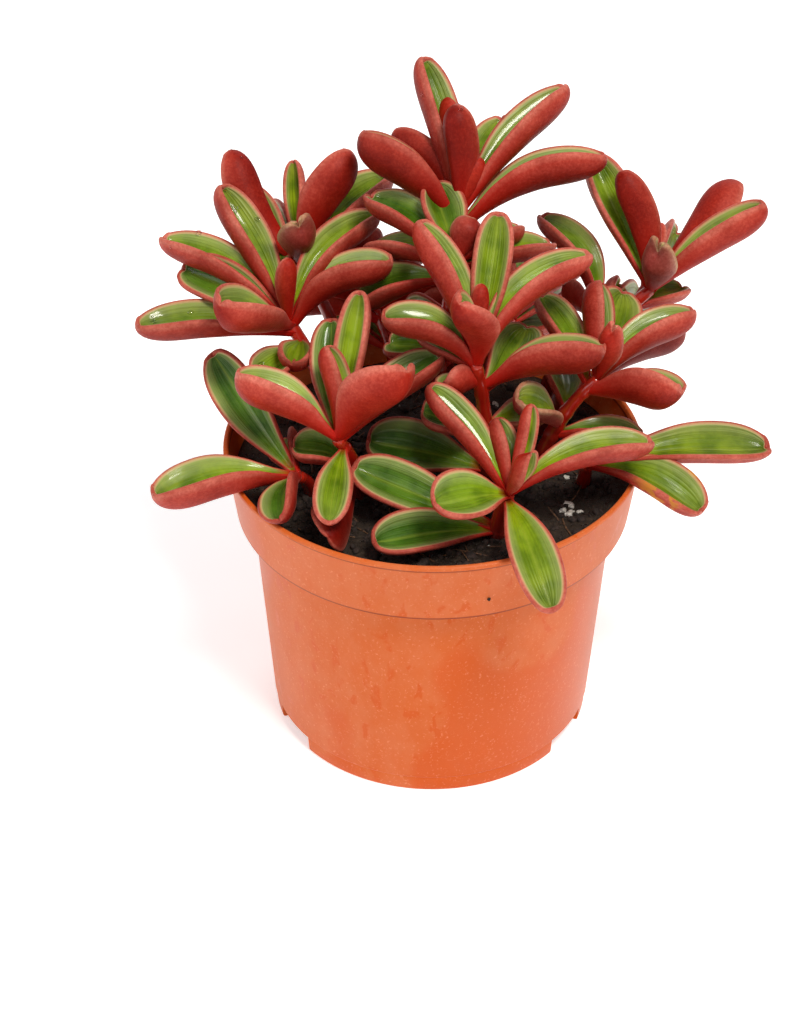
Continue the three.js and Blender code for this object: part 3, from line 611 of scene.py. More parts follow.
@dataclass(frozen=True)
class WaxyLeaf:
    """Living peperomia leaf: a water-filled blade under a thin waxy skin.

    It gives the eye a translucent green window in the groove, brightest along its midrib, a
    velvety wine-red keel that goes pale and pink towards its margins, partly its waxy bloom and
    partly painted sheen, and a cream line between.
    """

    name: str = "waxy peperomia leaf"
    cell: float = 0.45  # mm, the skin's grain, drawn coarser than the real cells so that it shows
    blotch: float = 8.0  # mm, slow changes of colour
    mottle: float = 0.9  # mm, the velvety mottling of the keel
    cork: float = 4.5  # mm, tan patches where a keel was scratched
    flow: tuple[float, float, float] = (8.0, 0.8, 40.0)  # streaks per width, per length, per leaf

    def build(self) -> Material:
        """Returns the leaf material, which reads the attributes that LeafShape writes."""
        paint = Shading(self.name)
        face, along, tone = (paint.attribute(name) for name in ("face", "along", "tone"))
        grain, streaks = paint.noise(self.cell, 2, 0.6), self.streaks(paint)
        blotch = paint.noise(self.blotch, 3, 0.55)
        window, keel = self.window(paint, blotch, streaks, grain), self.keel(paint, blotch)
        # Both run into the stem's own clear red at the stalk.
        stalk = paint.ramp(along, (0.08, 0.95), (0.26, 0.45), (0.6, 0.0))
        keel = paint.mix(Mixing.OVER, stalk, keel, "#B41408")
        window = paint.layers(window, (Mixing.OVER, "#B8280C", along, (0.06, 1.0), (0.17, 0.0)))
        # The margin: face runs from 0 on the keel to 1 in the groove.
        is_window = paint.ramp(face, (0.74, 0.0), (0.82, 1.0))
        body = paint.mix(Mixing.OVER, is_window, keel, window)
        edge = paint.ramp(face, (0.62, 0.0), (0.72, 0.6), (0.79, 0.66), (0.87, 0.0))
        edge = paint.join(Joining.TIMES, edge, paint.join(Joining.LESS, 1.0, stalk))
        body = paint.mix(Mixing.OVER, edge, body, "#CDBE86")
        # Each leaf has a depth of its own.
        body = paint.layers(body, (Mixing.MULTIPLY, "#C8AA9C", tone, (0.0, 0.0), (1.0, 0.35)))
        # Green faces are glossy, with wetter streaks, and keels are satin.
        dull = paint.ramp(face, (0.3, 0.48), (0.85, 0.32))
        wet = paint.join(Joining.TIMES, paint.ramp(streaks, (0.5, 0.08), (0.64, 0.9)), is_window)
        bump = paint.bump(grain, 0.25, paint.ramp(face, (0.5, 0.4), (0.8, 0.06)))
        furrows = paint.bump(streaks, 0.7, is_window, Normal=bump)
        return paint.finish(
            body, dull, Normal=furrows, IOR=1.42, Specular_IOR_Level=0.16, Subsurface_Weight=0.12,
            Subsurface_Radius=(1.0, 0.6, 0.25), Subsurface_Scale=1.5 * MM, Sheen_Weight=0.12,
            Sheen_Roughness=0.3, Sheen_Tint="#FF9C84", Coat_Weight=wet, Coat_Roughness=0.1,
            Coat_IOR=1.4,
        )

    def streaks(self, paint: Shading) -> Node:
        """Returns lengthwise streaks: a noise over the leaf's own width and length."""
        axes = {"X": "across", "Y": "along", "Z": "tone"}
        sheet = add(paint.tree, "CombineXYZ", {k: paint.attribute(v) for k, v in axes.items()})
        vector = paint.scaled(sheet, self.flow)
        return add(paint.tree, "TexNoise", {"Vector": vector, "Scale": 1.0, "Detail": 2.0})

    def window(self, paint: Shading, blotch: Node, streaks: Node, grain: Node) -> tuple[Node, int]:
        """Colours the groove: lime near the stalk, deeper towards the tip and on old leaves.

        Args:
            paint: The material.
            blotch: Slow noise.
            streaks: Lengthwise noise.
            grain: Fine noise.

        Returns:
            The colour.
        """
        across, along, age = (paint.attribute(name) for name in ("across", "along", "age"))
        new = paint.ramp(along, (0.1, "#AEC20C"), (0.35, "#98B212"), (0.7, "#90A81A"), (1.0, "#98A834"))
        old = paint.ramp(along, (0.1, "#80A41C"), (0.4, "#567E18"), (0.8, "#4C741E"), (1.0, "#608434"))
        return paint.layers(
            paint.mix(Mixing.OVER, age, new, old),
            (Mixing.MULTIPLY, "#86A268", blotch, (0.38, 0.0), (0.64, 0.8)),  # slow shade
            (Mixing.SCREEN, "#4A5A18", streaks, (0.5, 0.0), (0.78, 0.5)),  # painted reflection: pale lengthwise streaks
            (Mixing.OVER, "#A4B63C", across, (0.0, 0.3), (0.04, 0.2), (0.12, 0.0)),  # the midrib
            (Mixing.OVER, "#A8B46C", across, (0.5, 0.0), (0.95, 0.62)),  # greyer at the margin
            (Mixing.SCREEN, "#3B4518", grain, (0.5, 0.0), (0.78, 0.35)),  # bright cells
        )

    def keel(self, paint: Shading, blotch: Node) -> tuple[Node, int]:
        """Colours the keel: wine red, rosier when young, mauve in a heart, tan where scarred.

        Args:
            paint: The material.
            blotch: Slow noise.

        Returns:
            The colour.
        """
        across, age = paint.attribute("across"), paint.attribute("age")
        # Towards the margin the ramps turn paler and pinker: partly the keel's waxy bloom, partly painted
        # sheen where the keel turns away from the eye.
        new = paint.ramp(across, (0.0, "#AC2414"), (0.45, "#B83422"), (0.85, "#C85646"), (1.0, "#D67C6A"))
        old = paint.ramp(across, (0.0, "#780E05"), (0.45, "#861809"), (0.85, "#A63628"), (1.0, "#C06050"))
        mauve = paint.ramp(across, (0.0, "#8A3F38"), (0.7, "#9A5A50"), (0.92, "#A87C6A"), (1.0, "#C0B088"))
        heart = add(paint.tree, "MapRange", {"Value": age, "From Min": 0.0, "From Max": -1.0})
        colour = paint.mix(Mixing.OVER, heart, paint.mix(Mixing.OVER, age, new, old), mauve)
        mottle = paint.noise(self.mottle, 4, 0.65)
        spacing = {"Vector": paint.place(), "Scale": 1.0 / (self.cell * 1.5 * MM)}
        cells = add(paint.tree, "TexVoronoi", spacing), "Distance"
        colour = paint.layers(
            colour,
            (Mixing.MULTIPLY, "#CE9890", blotch, (0.35, 0.0), (0.68, 0.75)),  # wine-dark clouds
            (Mixing.MULTIPLY, "#CC948C", mottle, (0.4, 0.5), (0.62, 0.0)),  # the velvet's depths
            (Mixing.SCREEN, "#3C201C", mottle, (0.52, 0.0), (0.72, 0.4)),  # and its rosy heights
            (Mixing.SCREEN, "#32180F", cells, (0.1, 0.35), (0.55, 0.0)),  # pores
        )
        corky = paint.ramp(paint.noise(self.cork, 3, warp=0.5), (0.5, 0.0), (0.56, 0.85))
        belt = paint.ramp(
            paint.attribute("along"), (0.4, 0.0), (0.55, 1.0), (0.8, 1.0), (0.88, 0.0)
        )
        corky = paint.join(Joining.TIMES, corky, paint.attribute("scar"))
        corky = paint.join(Joining.TIMES, corky, belt)
        return paint.mix(Mixing.OVER, corky, colour, "#C4862C")


@dataclass(frozen=True)
class SucculentStem:
    """Living succulent stem: a smooth wet skin, clear glossy red, browner towards the soil."""

    name: str = "glossy peperomia stem"
    streak: float = 3.0  # mm

    def build(self) -> Material:
        """Returns the stem material, which reads the along attribute."""
        paint = Shading(self.name)
        along = paint.attribute("along")
        streaks = paint.noise(self.streak, 3, place=paint.scaled(paint.place(), (1.0, 1.0, 0.25)))
        reds = (0.0, "#5E150E"), (0.35, "#8E1A0C"), (0.7, "#A81B0C"), (1.0, "#B02716")
        dark = (Mixing.MULTIPLY, "#B8604C", streaks, (0.4, 0.0), (0.75, 0.6))
        colour = paint.layers(paint.ramp(along, *reds), dark)
        return paint.finish(
            colour, 0.24, Normal=paint.bump(streaks, 0.5, 0.3), IOR=1.45, Subsurface_Weight=0.12,
            Subsurface_Radius=(1.0, 0.3, 0.2), Subsurface_Scale=1.5 * MM, Coat_Weight=0.5,
            Coat_Roughness=0.08,
        )


@dataclass(frozen=True)
class MouldedPolypropylene:
    """Injection-moulded polypropylene: even satin terracotta orange, dulled by dried drips."""

    name: str = "moulded terracotta polypropylene"
    dust: float = 9.0  # mm, patches of dried water
    speck: float = 0.9  # mm, single specks of dust and grit
    drip: float = 5.0  # mm, short runs where water has washed the dust away
    pool: float = 60.0  # mm, the wide patch that is wiped clean
    collar: tuple[float, float] = (70.0, 93.0)  # mm, the heights that the painted shade lines are placed between

    def build(self) -> Material:
        """Returns the pot's material."""
        paint = Shading(self.name)
        place = paint.place()
        runs = paint.scaled(place, (1.0, 1.0, 0.6))
        patches = paint.noise(self.dust, 8, 0.66, runs)
        specks = paint.noise(self.speck, 4, 0.7)
        drips = paint.noise(self.drip, 3, place=runs, warp=0.6)
        # Clean and wetter where water ran, and over one wide patch.
        wiped = paint.ramp(paint.noise(self.pool, 1, 0.4), (0.5, 0.0), (0.53, 0.75))
        wet = paint.join(Joining.MOST, wiped, paint.ramp(drips, (0.6, 0.0), (0.66, 0.8)))
        dust = (Mixing.OVER, "#CA6A3C", patches, (0.38, 0.3), (0.66, 0.9))
        colour = paint.mix(Mixing.OVER, wet, paint.layers("#C4560F", dust), "#C44F04")
        # Painted shade: dark lines in the corner below the collar and below the lip.
        height = add(paint.tree, "SeparateXYZ", {"Vector": place}), "Z"
        low, high = (end * MM for end in self.collar)
        up = add(paint.tree, "MapRange", {"Value": height, "From Min": low, "From Max": high})
        below_collar = (0.08, 0.0), (0.095, 0.85), (0.122, 0.85), (0.145, 0.0)
        below_lip = (0.885, 0.0), (0.9, 0.75), (0.918, 0.75), (0.928, 0.0)
        colour = paint.layers(
            colour,
            (Mixing.OVER, "#E0926C", specks, (0.58, 0.0), (0.68, 0.55)),  # pale grit
            (Mixing.OVER, "#701F06", up, *below_collar, *below_lip),  # painted shade
        )
        return paint.finish(
            colour, paint.ramp(wet, (0.0, 0.42), (1.0, 0.3)), Normal=paint.bump(specks, 0.2, 0.12),
            IOR=1.49, Specular_IOR_Level=0.12, Subsurface_Weight=0.08,
            Subsurface_Radius=(1.0, 0.4, 0.2), Subsurface_Scale=1.5 * MM,
        )


@dataclass(frozen=True)
class MoistPeat:
    """Moist black peat: fibrous crumbs, nearly black, with damp glints."""

    name: str = "moist black peat"
    crumb: float = 1.6  # mm

    def build(self) -> Material:
        """Returns the potting mix's material."""
        paint = Shading(self.name)
        crumbs = paint.noise(self.crumb, 8, 0.7)
        tones = (0.3, "#1A130E"), (0.55, "#34291F"), (0.72, "#584A3C"), (0.85, "#887464")
        shine = paint.ramp(crumbs, (0.38, 0.2), (0.56, 0.85))
        bump = paint.bump(crumbs, 1.2, 0.9)
        return paint.finish(paint.ramp(crumbs, *tones), shine, Normal=bump, IOR=1.4)


@dataclass(frozen=True)
class Granule:
    """A loose granule in the mix, such as perlite or bark: matte and pitted, in two shades."""

    name: str
    dark: str
    light: str
    grain: float  # mm
    roughness: float

    def build(self) -> Material:
        """Returns the granule's material."""
        paint = Shading(self.name)
        pits = paint.noise(self.grain, 4, 0.6)
        colour = paint.ramp(pits, (0.35, self.dark), (0.65, self.light))
        return paint.finish(colour, self.roughness, Normal=paint.bump(pits, 0.4, 0.7))


@dataclass(frozen=True)
class ClearWater:
    """Clear water: small standing drops that sparkle on the freshly watered leaves."""

    name: str = "clear water"

    def build(self) -> Material:
        """Returns the water's material."""
        return Shading(self.name).finish(
            "#FFFFFF", 0.03, IOR=1.33, Specular_IOR_Level=1.0, Transmission_Weight=1.0, Alpha=0.7
        )


# ------------------------------------------------------------------ meshes


def mesh_object(
    name: str,
    points: Vec,
    faces: Sequence[Sequence[int]],
    materials: Sequence[Material],
    slots: Sequence[int] | None = None,
    attributes: dict[str, Vec] | None = None,
) -> Piece:
    """Makes a smooth-shaded mesh object and puts it in the scene.

    Args:
        name: The piece's name.
        points: Its points, mm.
        faces: Its faces, by point.
        materials: Its materials.
        slots: Each face's material, by number.
        attributes: Values per point, by name.

    Returns:
        The object.
    """
    mesh = bpy.data.meshes.new(name)
    mesh.from_pydata((np.asarray(points) * MM).tolist(), [], [list(f) for f in faces])
    for material in materials:
        mesh.materials.append(material)
    mesh.polygons.foreach_set("use_smooth", [True] * len(mesh.polygons))
    if slots is not None:
        mesh.polygons.foreach_set("material_index", list(slots))
    for key, values in (attributes or {}).items():
        layer = mesh.attributes.new(key, "FLOAT", "POINT")
        layer.data.foreach_set("value", np.asarray(values, np.float32))
    mesh.validate()
    mesh.update()
    piece = bpy.data.objects.new(name, mesh)
    bpy.context.scene.collection.objects.link(piece)
    return piece


@dataclass
class Skin:
    """Points, faces, material numbers and attributes that grow into one mesh."""

    points: list[Vec] = field(default_factory=list)
    faces: list[tuple[int, ...]] = field(default_factory=list)
    slots: list[int] = field(default_factory=list)
    values: dict[str, list[Vec]] = field(default_factory=dict)
    count: int = 0

    def loft(
        self,
        rings: Sequence[Vec],
        first: Vec | None = None,
        last: Vec | None = None,
        slot: int = 0,
        values: dict[str, Vec] | None = None,
    ) -> None:
        """Adds a closed skin over rings of points.

        Args:
            rings: The rings, each with the same number of points.
            first: The point before the first ring, or None for its middle.
            last: The point after the last ring, or None for its middle.
            slot: The faces' material number.
            values: Values for the points of every ring, then for the first and last point.
        """
        sides, start = len(rings[0]), self.count
        first = rings[0].mean(0) if first is None else first
        last = rings[-1].mean(0) if last is None else last
        first_at = start + sides * len(rings)
        for j in range(sides):
            k = (j + 1) % sides
            for i in range(len(rings) - 1):
                low, high = start + i * sides, start + (i + 1) * sides
                self.faces.append((low + j, low + k, high + k, high + j))
            end = start + (len(rings) - 1) * sides
            self.faces.append((start + k, start + j, first_at))
            self.faces.append((end + j, end + k, first_at + 1))
        self.slots += [slot] * (sides * (len(rings) + 1))
        self.points.append(np.concatenate([*rings, first[None], last[None]]))
        for key, numbers in (values or {}).items():
            self.values.setdefault(key, []).append(numbers)
        self.count = first_at + 2

    def build(self, name: str, *materials: Material) -> Piece:
        """Returns the mesh object."""
        attributes = {key: np.concatenate(parts) for key, parts in self.values.items()}
        points = np.concatenate(self.points)
        return mesh_object(name, points, self.faces, materials, self.slots, attributes)


def on_axis(z: float) -> Vec:
    """Returns the point of the pot's axis at a height."""
    return np.array([0.0, 0.0, z])


def hoop(middle: Vec, along: Vec, out: Vec, radius: float, turn: Vec) -> Vec:
    """Returns a ring of points round a middle, square to a direction."""
    return middle + radius * (out * np.cos(turn) + np.cross(along, out) * np.sin(turn))


def ball() -> tuple[Vec, list[list[int]]]:
    """Returns the points and faces of a round ball of radius 1, to be dented or flattened."""
    shape = bmesh.new()
    bmesh.ops.create_icosphere(shape, subdivisions=2, radius=1.0)
    points = np.array([v.co for v in shape.verts])
    faces = [[v.index for v in f.verts] for f in shape.faces]
    shape.free()
    return points, faces


def swarm(name: str, shapes: Sequence[Vec], material: Material) -> Piece:
    """Makes one piece of many misshapen balls, from the points of each in mm."""
    count, faces = len(shapes[0]), ball()[1]
    faces = [[count * i + v for v in face] for i in range(len(shapes)) for face in faces]
    return mesh_object(name, np.concatenate(shapes), faces, [material])


@dataclass
class Dew:
    """Drops of water that stand on the leaves after watering.

    Attributes:
        share: Chance that a leaf has drops.
        most: Most drops on one leaf.
        sizes: Smallest and largest radius, mm.
        flat: A drop's height as a share of its radius.
        proud: How far its middle stands out of the leaf, as a share of its radius.
        around: Share of the drops that may sit anywhere round a leaf, and not in its groove.
        groove: The points round a section between which the groove lies.
        seed: Makes the draw repeatable.
        drops: The points of each drop so far, mm.
    """

    share: float = 0.95
    most: int = 12
    sizes: tuple[float, float] = (0.3, 1.25)
    flat: float = 0.35
    proud: float = 0.05
    around: float = 0.35
    groove: tuple[int, int] = (2, 15)
    seed: int = 77
    drops: list[Vec] = field(default_factory=list)

    def settle(self, sheet: Vec, young: bool) -> None:
        """Puts some drops on a leaf.

        Args:
            sheet: The leaf's points, by section and then round each section.
            young: Whether it is one of the small inner leaves.
        """
        draw = np.random.default_rng(self.seed + len(self.drops))
        if young or draw.uniform() > self.share:
            return
        points, (sections, sides) = ball()[0], sheet.shape[:2]
        low, high = self.sizes
        for _ in range(draw.integers(1, self.most + 1)):
            i = int(draw.integers(sections // 3, sections - 3))
            span = (1, sides - 1) if draw.uniform() < self.around else self.groove
            j = int(draw.integers(*span))
            along = unit(sheet[i + 1, j] - sheet[i - 1, j])
            beside = sheet[i, (j + 1) % sides] - sheet[i, j - 1]
            out = unit(np.cross(beside, along))
            size = low + (high - low) * draw.uniform() ** 2
            stretch = draw.uniform(1.0, 1.5)
            frame = np.stack([along * stretch, np.cross(out, along), out * self.flat])
            self.drops.append(sheet[i, j] + size * (points @ frame) + out * size * self.proud)

    def build(self) -> Piece:
        """Returns all the drops as one piece."""
        piece = swarm("water_drops", self.drops, ClearWater().build())
        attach(piece, BODY)
        LOG.info("%s: %d drops", piece.name, len(self.drops))
        return piece


# ------------------------------------------------------------------ stems and leaves


@dataclass(frozen=True)
class StemCurve:
    """A stem's centre line above the soil: it leaves the soil steeply and bends to its head."""

    stem: Stem
    level: float  # mm, the soil's level
    bend: tuple[float, float, float] = (0.25, 0.25, 0.6)  # where it bends, from foot to head

    def ends(self) -> tuple[Vec, Vec, Vec]:
        """Returns the foot, the bend and the head, mm."""
        stem = self.stem
        foot = np.array([*stem.foot, self.level])
        head = np.array(stem.at) if stem.at else VIEW.seen(stem.head, stem.near)
        return foot, foot + (head - foot) * np.array(self.bend), head

    def point(self, s: float) -> Vec:
        """Returns the point at s, 0 at the soil and 1 at the head."""
        foot, bend, head = self.ends()
        return (1 - s) ** 2 * foot + 2 * s * (1 - s) * bend + s * s * head

    def tangent(self, s: float) -> Vec:
        """Returns the growing direction at s."""
        foot, bend, head = self.ends()
        return unit(2 * (1 - s) * (bend - foot) + 2 * s * (head - bend))


@dataclass(frozen=True)
class LeafShape:
    """The boat-shaped blade: two fleshy lobes folded up from a rounded keel."""

    thickness: float = 3.2  # mm, at the keel
    young_thickness: float = 2.4  # mm, the same on the small inner leaves
    rim: float = 1.35  # mm, how much of the half width is the fleshy rim outside the groove
    young_rim: float = 0.85  # mm, the same on the small inner leaves
    widest: float = 0.68  # where along the leaf it is widest
    stalk: float = 0.06  # how much of its length is stalk
    waist: float = 0.13  # the stalk's width, as a share of the widest
    stations: int = 36  # sections along the leaf
    inner: int = 8  # points across each lobe of the groove
    outer: int = 9  # points across each lobe of the keel
    round_steps: int = 5  # points round each margin
    flat: float = 0.35  # share of the fold that the lobes already have at the midrib
    curl: float = 0.85  # and how much they gain towards the margin
    thinning: float = 0.52  # how much thinner the margin is than the keel
    prow: float = 0.8  # how far the keel rises at the tip, as a share of the groove's depth
    nose: float = 0.03  # how much of the leaf's length is solid at the tip, beyond the groove
    ripple: float = 0.035  # how much the fold opens and closes along the leaf
    least: float = 0.25  # mm, the narrowest lobe
    quirks: tuple[float, float, float] = (0.018, 3.0, 1.0)  # spread of sway, twist and ripple

    def width_share(self, t: float) -> float:
        """Returns the lobe's width along the leaf, as a share of its widest."""
        if t < self.widest:
            rise = max((t - self.stalk) / (self.widest - self.stalk), 0.0)
            return self.waist + (1.0 - self.waist) * math.sin(math.pi / 2 * rise) ** 1.45
        return math.sqrt(1.0 - ((t - self.widest) / (1.0 - self.widest)) ** 2.4)

    def thickness_share(self, t: float) -> float:
        """Returns the blade's thickness along the leaf, as a share of its most."""
        if t < self.widest:
            return 0.55 + 0.45 * min(t / 0.5, 1.0)
        return math.sqrt(1.0 - ((t - self.widest) / (1.0 - self.widest)) ** 3.2)

    def groove(self, half: float, fold: float, s: Vec) -> Vec:
        """Returns points across the groove at signed shares s of a lobe's width."""
        size = np.abs(s)
        low, gain = fold * self.flat, fold * self.curl
        x = half * (np.sin(low + gain * size) - math.sin(low)) / gain
        y = half * (math.cos(low) - np.cos(low + gain * size)) / gain
        return np.stack([np.sign(s) * x, y], -1)

    def keel(self, half: float, thick: float, fold: float, s: Vec) -> Vec:
        """Returns points round the keel at signed shares s of a lobe's width."""
        size = np.abs(s)
        angle = fold * (self.flat + self.curl * size)
        spread = np.clip(size / 0.35, 0.0, 1.0)
        down = -np.cos(angle) * spread - (1 - spread)
        away = np.stack([np.sign(s) * np.sin(angle) * spread, down], -1)
        away /= np.linalg.norm(away, axis=-1, keepdims=True)
        return self.groove(half, fold, s) + away * (thick * (1 - self.thinning * size**2))[:, None]

    def section(self, inside: float, half: float, drop: float, thick: float, fold: float) -> Vec:
        """Works out one closed section, across the groove and back round the keel.

        Args:
            inside: Width of a lobe of the groove, mm.
            half: Width of a lobe of the keel, mm.
            drop: How far the keel lies below its place under the groove, mm.
            thick: Thickness at the keel, mm.
            fold: How far each lobe folds up, radians.

        Returns:
            Its points.
        """
        groove = self.groove(inside, fold, np.linspace(-1, 1, 2 * self.inner + 1))
        keel = self.keel(half, thick, fold, np.linspace(1, -1, 2 * self.outer + 1)) - [0.0, drop]
        turn = fold * (self.flat + self.curl)
        angles = np.linspace(0, math.pi, self.round_steps + 2)[1:-1, None]

        def margin(top: Vec, low: Vec, side: float) -> Vec:
            """Rounds the margin from the groove's edge over to the keel's."""
            middle, reach = (top + low) / 2, np.linalg.norm(top - low) / 2
            out = np.array([side * math.cos(turn), math.sin(turn)])
            return middle + (top - middle) * np.cos(angles) + out * reach * np.sin(angles)

        right = margin(groove[-1], keel[0], 1.0)
        left = margin(groove[0], keel[-1], -1.0)[::-1]
        return np.concatenate([groove, right, keel, left])

    def section_values(self) -> tuple[Vec, Vec]:
        """Works out what the points of a section carry.

        Returns:
            Face, 1 in the groove and 0 on the keel, and across, 0 at the middle and 1 at the
            margin.
        """
        groove = np.abs(np.linspace(-1, 1, 2 * self.inner + 1))
        keel = np.abs(np.linspace(1, -1, 2 * self.outer + 1))
        over = np.linspace(0.75, 0.25, self.round_steps + 2)[1:-1]
        groove_face = 1.0 - 0.25 * smooth(0.86, 1.0, groove)
        keel_face = 0.25 * smooth(0.86, 1.0, keel)
        face = np.concatenate([groove_face, over, keel_face, over[::-1]])
        across = np.concatenate([groove, np.ones(len(over)), keel, np.ones(len(over))])
        return face, across

    def grow(self, skin: Skin, leaf: Leaf, curve: StemCurve, seed: int) -> Vec:
        """Adds one leaf to a skin.

        Args:
            skin: The skin of its stem.
            leaf: The leaf.
            curve: Its stem's centre line.
            seed: Gives the leaf its own small irregularities.

        Returns:
            Its points, by section and then round each section.
        """
        draw = np.random.default_rng(seed)
        base, axis = curve.point(leaf.up), curve.tangent(leaf.up)
        if leaf.tip:
            tip = VIEW.seen(leaf.tip, VIEW.nearness(base) + leaf.near)
        else:
            tip = base + leaf.length * compass(leaf.heading, leaf.rise)
        lobe = leaf.half - (self.young_rim if leaf.young else self.rim)
        thickest = self.young_thickness if leaf.young else self.thickness
        bend = math.radians(leaf.fold)
        depth = lobe * (math.cos(self.flat * bend) - math.cos((self.flat + self.curl) * bend))
        prow = self.prow * depth / (self.curl * bend)
        facing = self.facing(leaf, base, tip, axis)
        notch = lobe * leaf.notch
        end = tip - facing * prow - unit(tip - base) * notch
        length = float(np.linalg.norm(end - base))
        ahead = (end - base) / length
        facing = unit(facing - ahead * (facing @ ahead))
        beside = np.cross(ahead, facing)
        sway, twist, wave = draw.normal(0, self.quirks)
        bow = facing * leaf.arch + beside * sway
        stops = 1.0 - (1.0 - np.linspace(0.0, 1.0, self.stations + 1)[:-1]) ** 2.0
        face, edge = self.section_values()
        over = edge[:, None] ** 2
        rings, open_shares = [], []
        for t in stops:
            middle = base + ahead * length * t + bow * length * (4.0 * t * (1.0 - t))
            forward = unit(ahead + bow * (4.0 * (1.0 - 2.0 * t)))
            outward = unit(facing - forward * (facing @ forward))
            roll = math.radians(twist) * math.sin(math.pi * t)
            outward = outward * math.cos(roll) + np.cross(forward, outward) * math.sin(roll)
            fold = bend * (0.55 + 0.45 * min(1.0, t / 0.3))
            fold *= 1.0 + self.ripple * math.sin(9.0 * t + wave)
            thick = max(thickest * self.thickness_share(t), 0.3)
            beyond = max(0.0, (t - self.widest) / (1.0 - self.widest))
            share = self.width_share(t)
            groove_share = self.width_share(min(1.0, t + self.nose * beyond))
            half, inside = max(lobe * share, self.least), max(lobe * groove_share, self.least)
            rise = drop = reach = 0.0
            if beyond:
                rise, drop = prow * (1.0 - groove_share), prow * (share - groove_share)
                reach = notch * 4.0 * share * (1.0 - share)
            flat = self.section(inside, half, drop, thick, fold)
            ring = middle + np.cross(forward, outward) * flat[:, :1]
            ring = ring + outward * (flat[:, 1:] + thick / 2 + rise)
            rings.append(ring + forward * (reach * over))
            open_shares.append(groove_share if beyond else 1.0)
        # Where the groove closes over the solid tip, its colour gives way to the margin's.
        opens = smooth(0.08, 0.35, np.array(open_shares)[:, None])
        faces = np.minimum(face, 0.4 + 0.6 * opens)
        edges = np.where(face > 0.25, np.maximum(edge, 1.0 - opens), edge)
        count = len(face) * len(stops) + 2
        values = {
            "face": np.concatenate([faces.ravel(), [0.0, 0.5]]),
            "across": np.concatenate([edges.ravel(), [0.0, 1.0]]),
            "along": np.concatenate([np.repeat(stops, len(face)), [0.0, 1.0]]),
            "age": np.full(count, leaf.ripeness),
            "tone": np.full(count, draw.uniform()),
            "scar": np.full(count, leaf.scar),
        }
        skin.loft(rings, base, rings[-1].mean(0) + forward * 0.1, 0, values)
        return np.array(rings)

    def facing(self, leaf: Leaf, base: Vec, tip: Vec, axis: Vec) -> Vec:
        """Finds which way a leaf's green face looks.

        Args:
            leaf: The leaf.
            base: Where it starts, mm.
            tip: Where it ends, mm.
            axis: Its stem's growing direction there.

        Returns:
            A unit vector square to the leaf.
        """
        ahead = unit(tip - base)
        if leaf.face is None:
            return unit(axis - ahead * (axis @ ahead))
        to_eye = VIEW.eye() - (base + tip) / 2
        to_eye = unit(to_eye - ahead * (to_eye @ ahead))
        inward = np.cross(ahead, to_eye)
        inward *= -1.0 if inward @ axis < 0 else 1.0
        angle = math.radians(leaf.face)
        return to_eye * math.cos(angle) + inward * math.sin(angle)


@dataclass
class LeafyStem:
    """The stems and leaves of one grown piece."""

    node: str  # the CAD node that it stands for
    stems: Sequence[Stem]
    level: float  # mm, the soil's level
    seed: int
    buried: float = 13.0  # mm, how deep the stems stand in the soil
    below: tuple[float, float] = (0.2, 0.02)  # the buried rings, as shares of the stem's run
    neck: float = 0.62  # share of the foot's radius that is left at the growing tip
    sides: int = 20
    steps: int = 44
    joint_swell: float = 0.13  # how much thicker a stem is where a leaf joins it
    joint_reach: float = 0.03  # how much of its length that thickening takes

    def grow_stem(self, skin: Skin, stem: Stem, curve: StemCurve) -> None:
        """Adds one stem's tube to the skin.

        Args:
            skin: The skin of the piece.
            stem: The stem.
            curve: Its centre line.
        """
        joints = np.array(sorted({leaf.up for leaf in stem.leaves}))
        deep, shallow = self.below
        shares = np.concatenate([[-deep, -shallow], np.linspace(0.0, 1.0, self.steps)])
        turn, rings = circle(self.sides)[:, None], []
        for s in shares:
            if s < 0:
                middle, along = curve.point(0.0) - on_axis(self.buried * (-s / deep)), on_axis(1.0)
            else:
                middle, along = curve.point(s), curve.tangent(s)
            swell = float(np.exp(-(((joints - s) / self.joint_reach) ** 2)).max())
            radius = stem.radius * (1 + (self.neck - 1) * max(s, 0.0)) * (1 + self.joint_swell * swell)
            out = unit(np.array([1.0, 0.0, 0.0]) - along * along[0])
            rings.append(hoop(middle, along, out, radius, turn))
        tip = curve.point(1.0) + curve.tangent(1.0) * stem.radius * self.neck
        count = self.sides * len(shares) + 2
        values = {key: np.zeros(count) for key in ("face", "across", "age", "tone", "scar")}
        values["along"] = np.concatenate([np.repeat(np.clip(shares, 0, 1), self.sides), [0.0, 1.0]])
        skin.loft(rings, None, tip, 1, values)

    def build(self, leaf: Material, stem: Material, dew: Dew) -> Piece:
        """Builds the piece and puts it in the place of its CAD node.

        Args:
            leaf: The leaves' material.
            stem: The stems' material.
            dew: Takes the drops that settle on its leaves.

        Returns:
            The piece.
        """
        skin, shape = Skin(), LeafShape()
        for number, one in enumerate(self.stems):
            curve = StemCurve(one, self.level)
            self.grow_stem(skin, one, curve)
            for i, blade in enumerate(one.leaves):
                sheet = shape.grow(skin, blade, curve, self.seed + 100 * number + i)
                dew.settle(sheet, blade.young)
        piece = skin.build(f"leafy_{self.node}", leaf, stem)
        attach(piece, BODY)
        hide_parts(self.node)
        LOG.info("%s: %d leaves", piece.name, sum(len(s.leaves) for s in self.stems))
        return piece


# ------------------------------------------------------------------ pot


def turned(profile: Sequence[tuple[float, float]], segments: int) -> list[Vec]:
    """Turns radii and heights round the axis into rings of points."""
    turn = circle(segments)
    return [np.stack([r * np.cos(turn), r * np.sin(turn), np.full_like(turn, z)], -1) for r, z in profile]


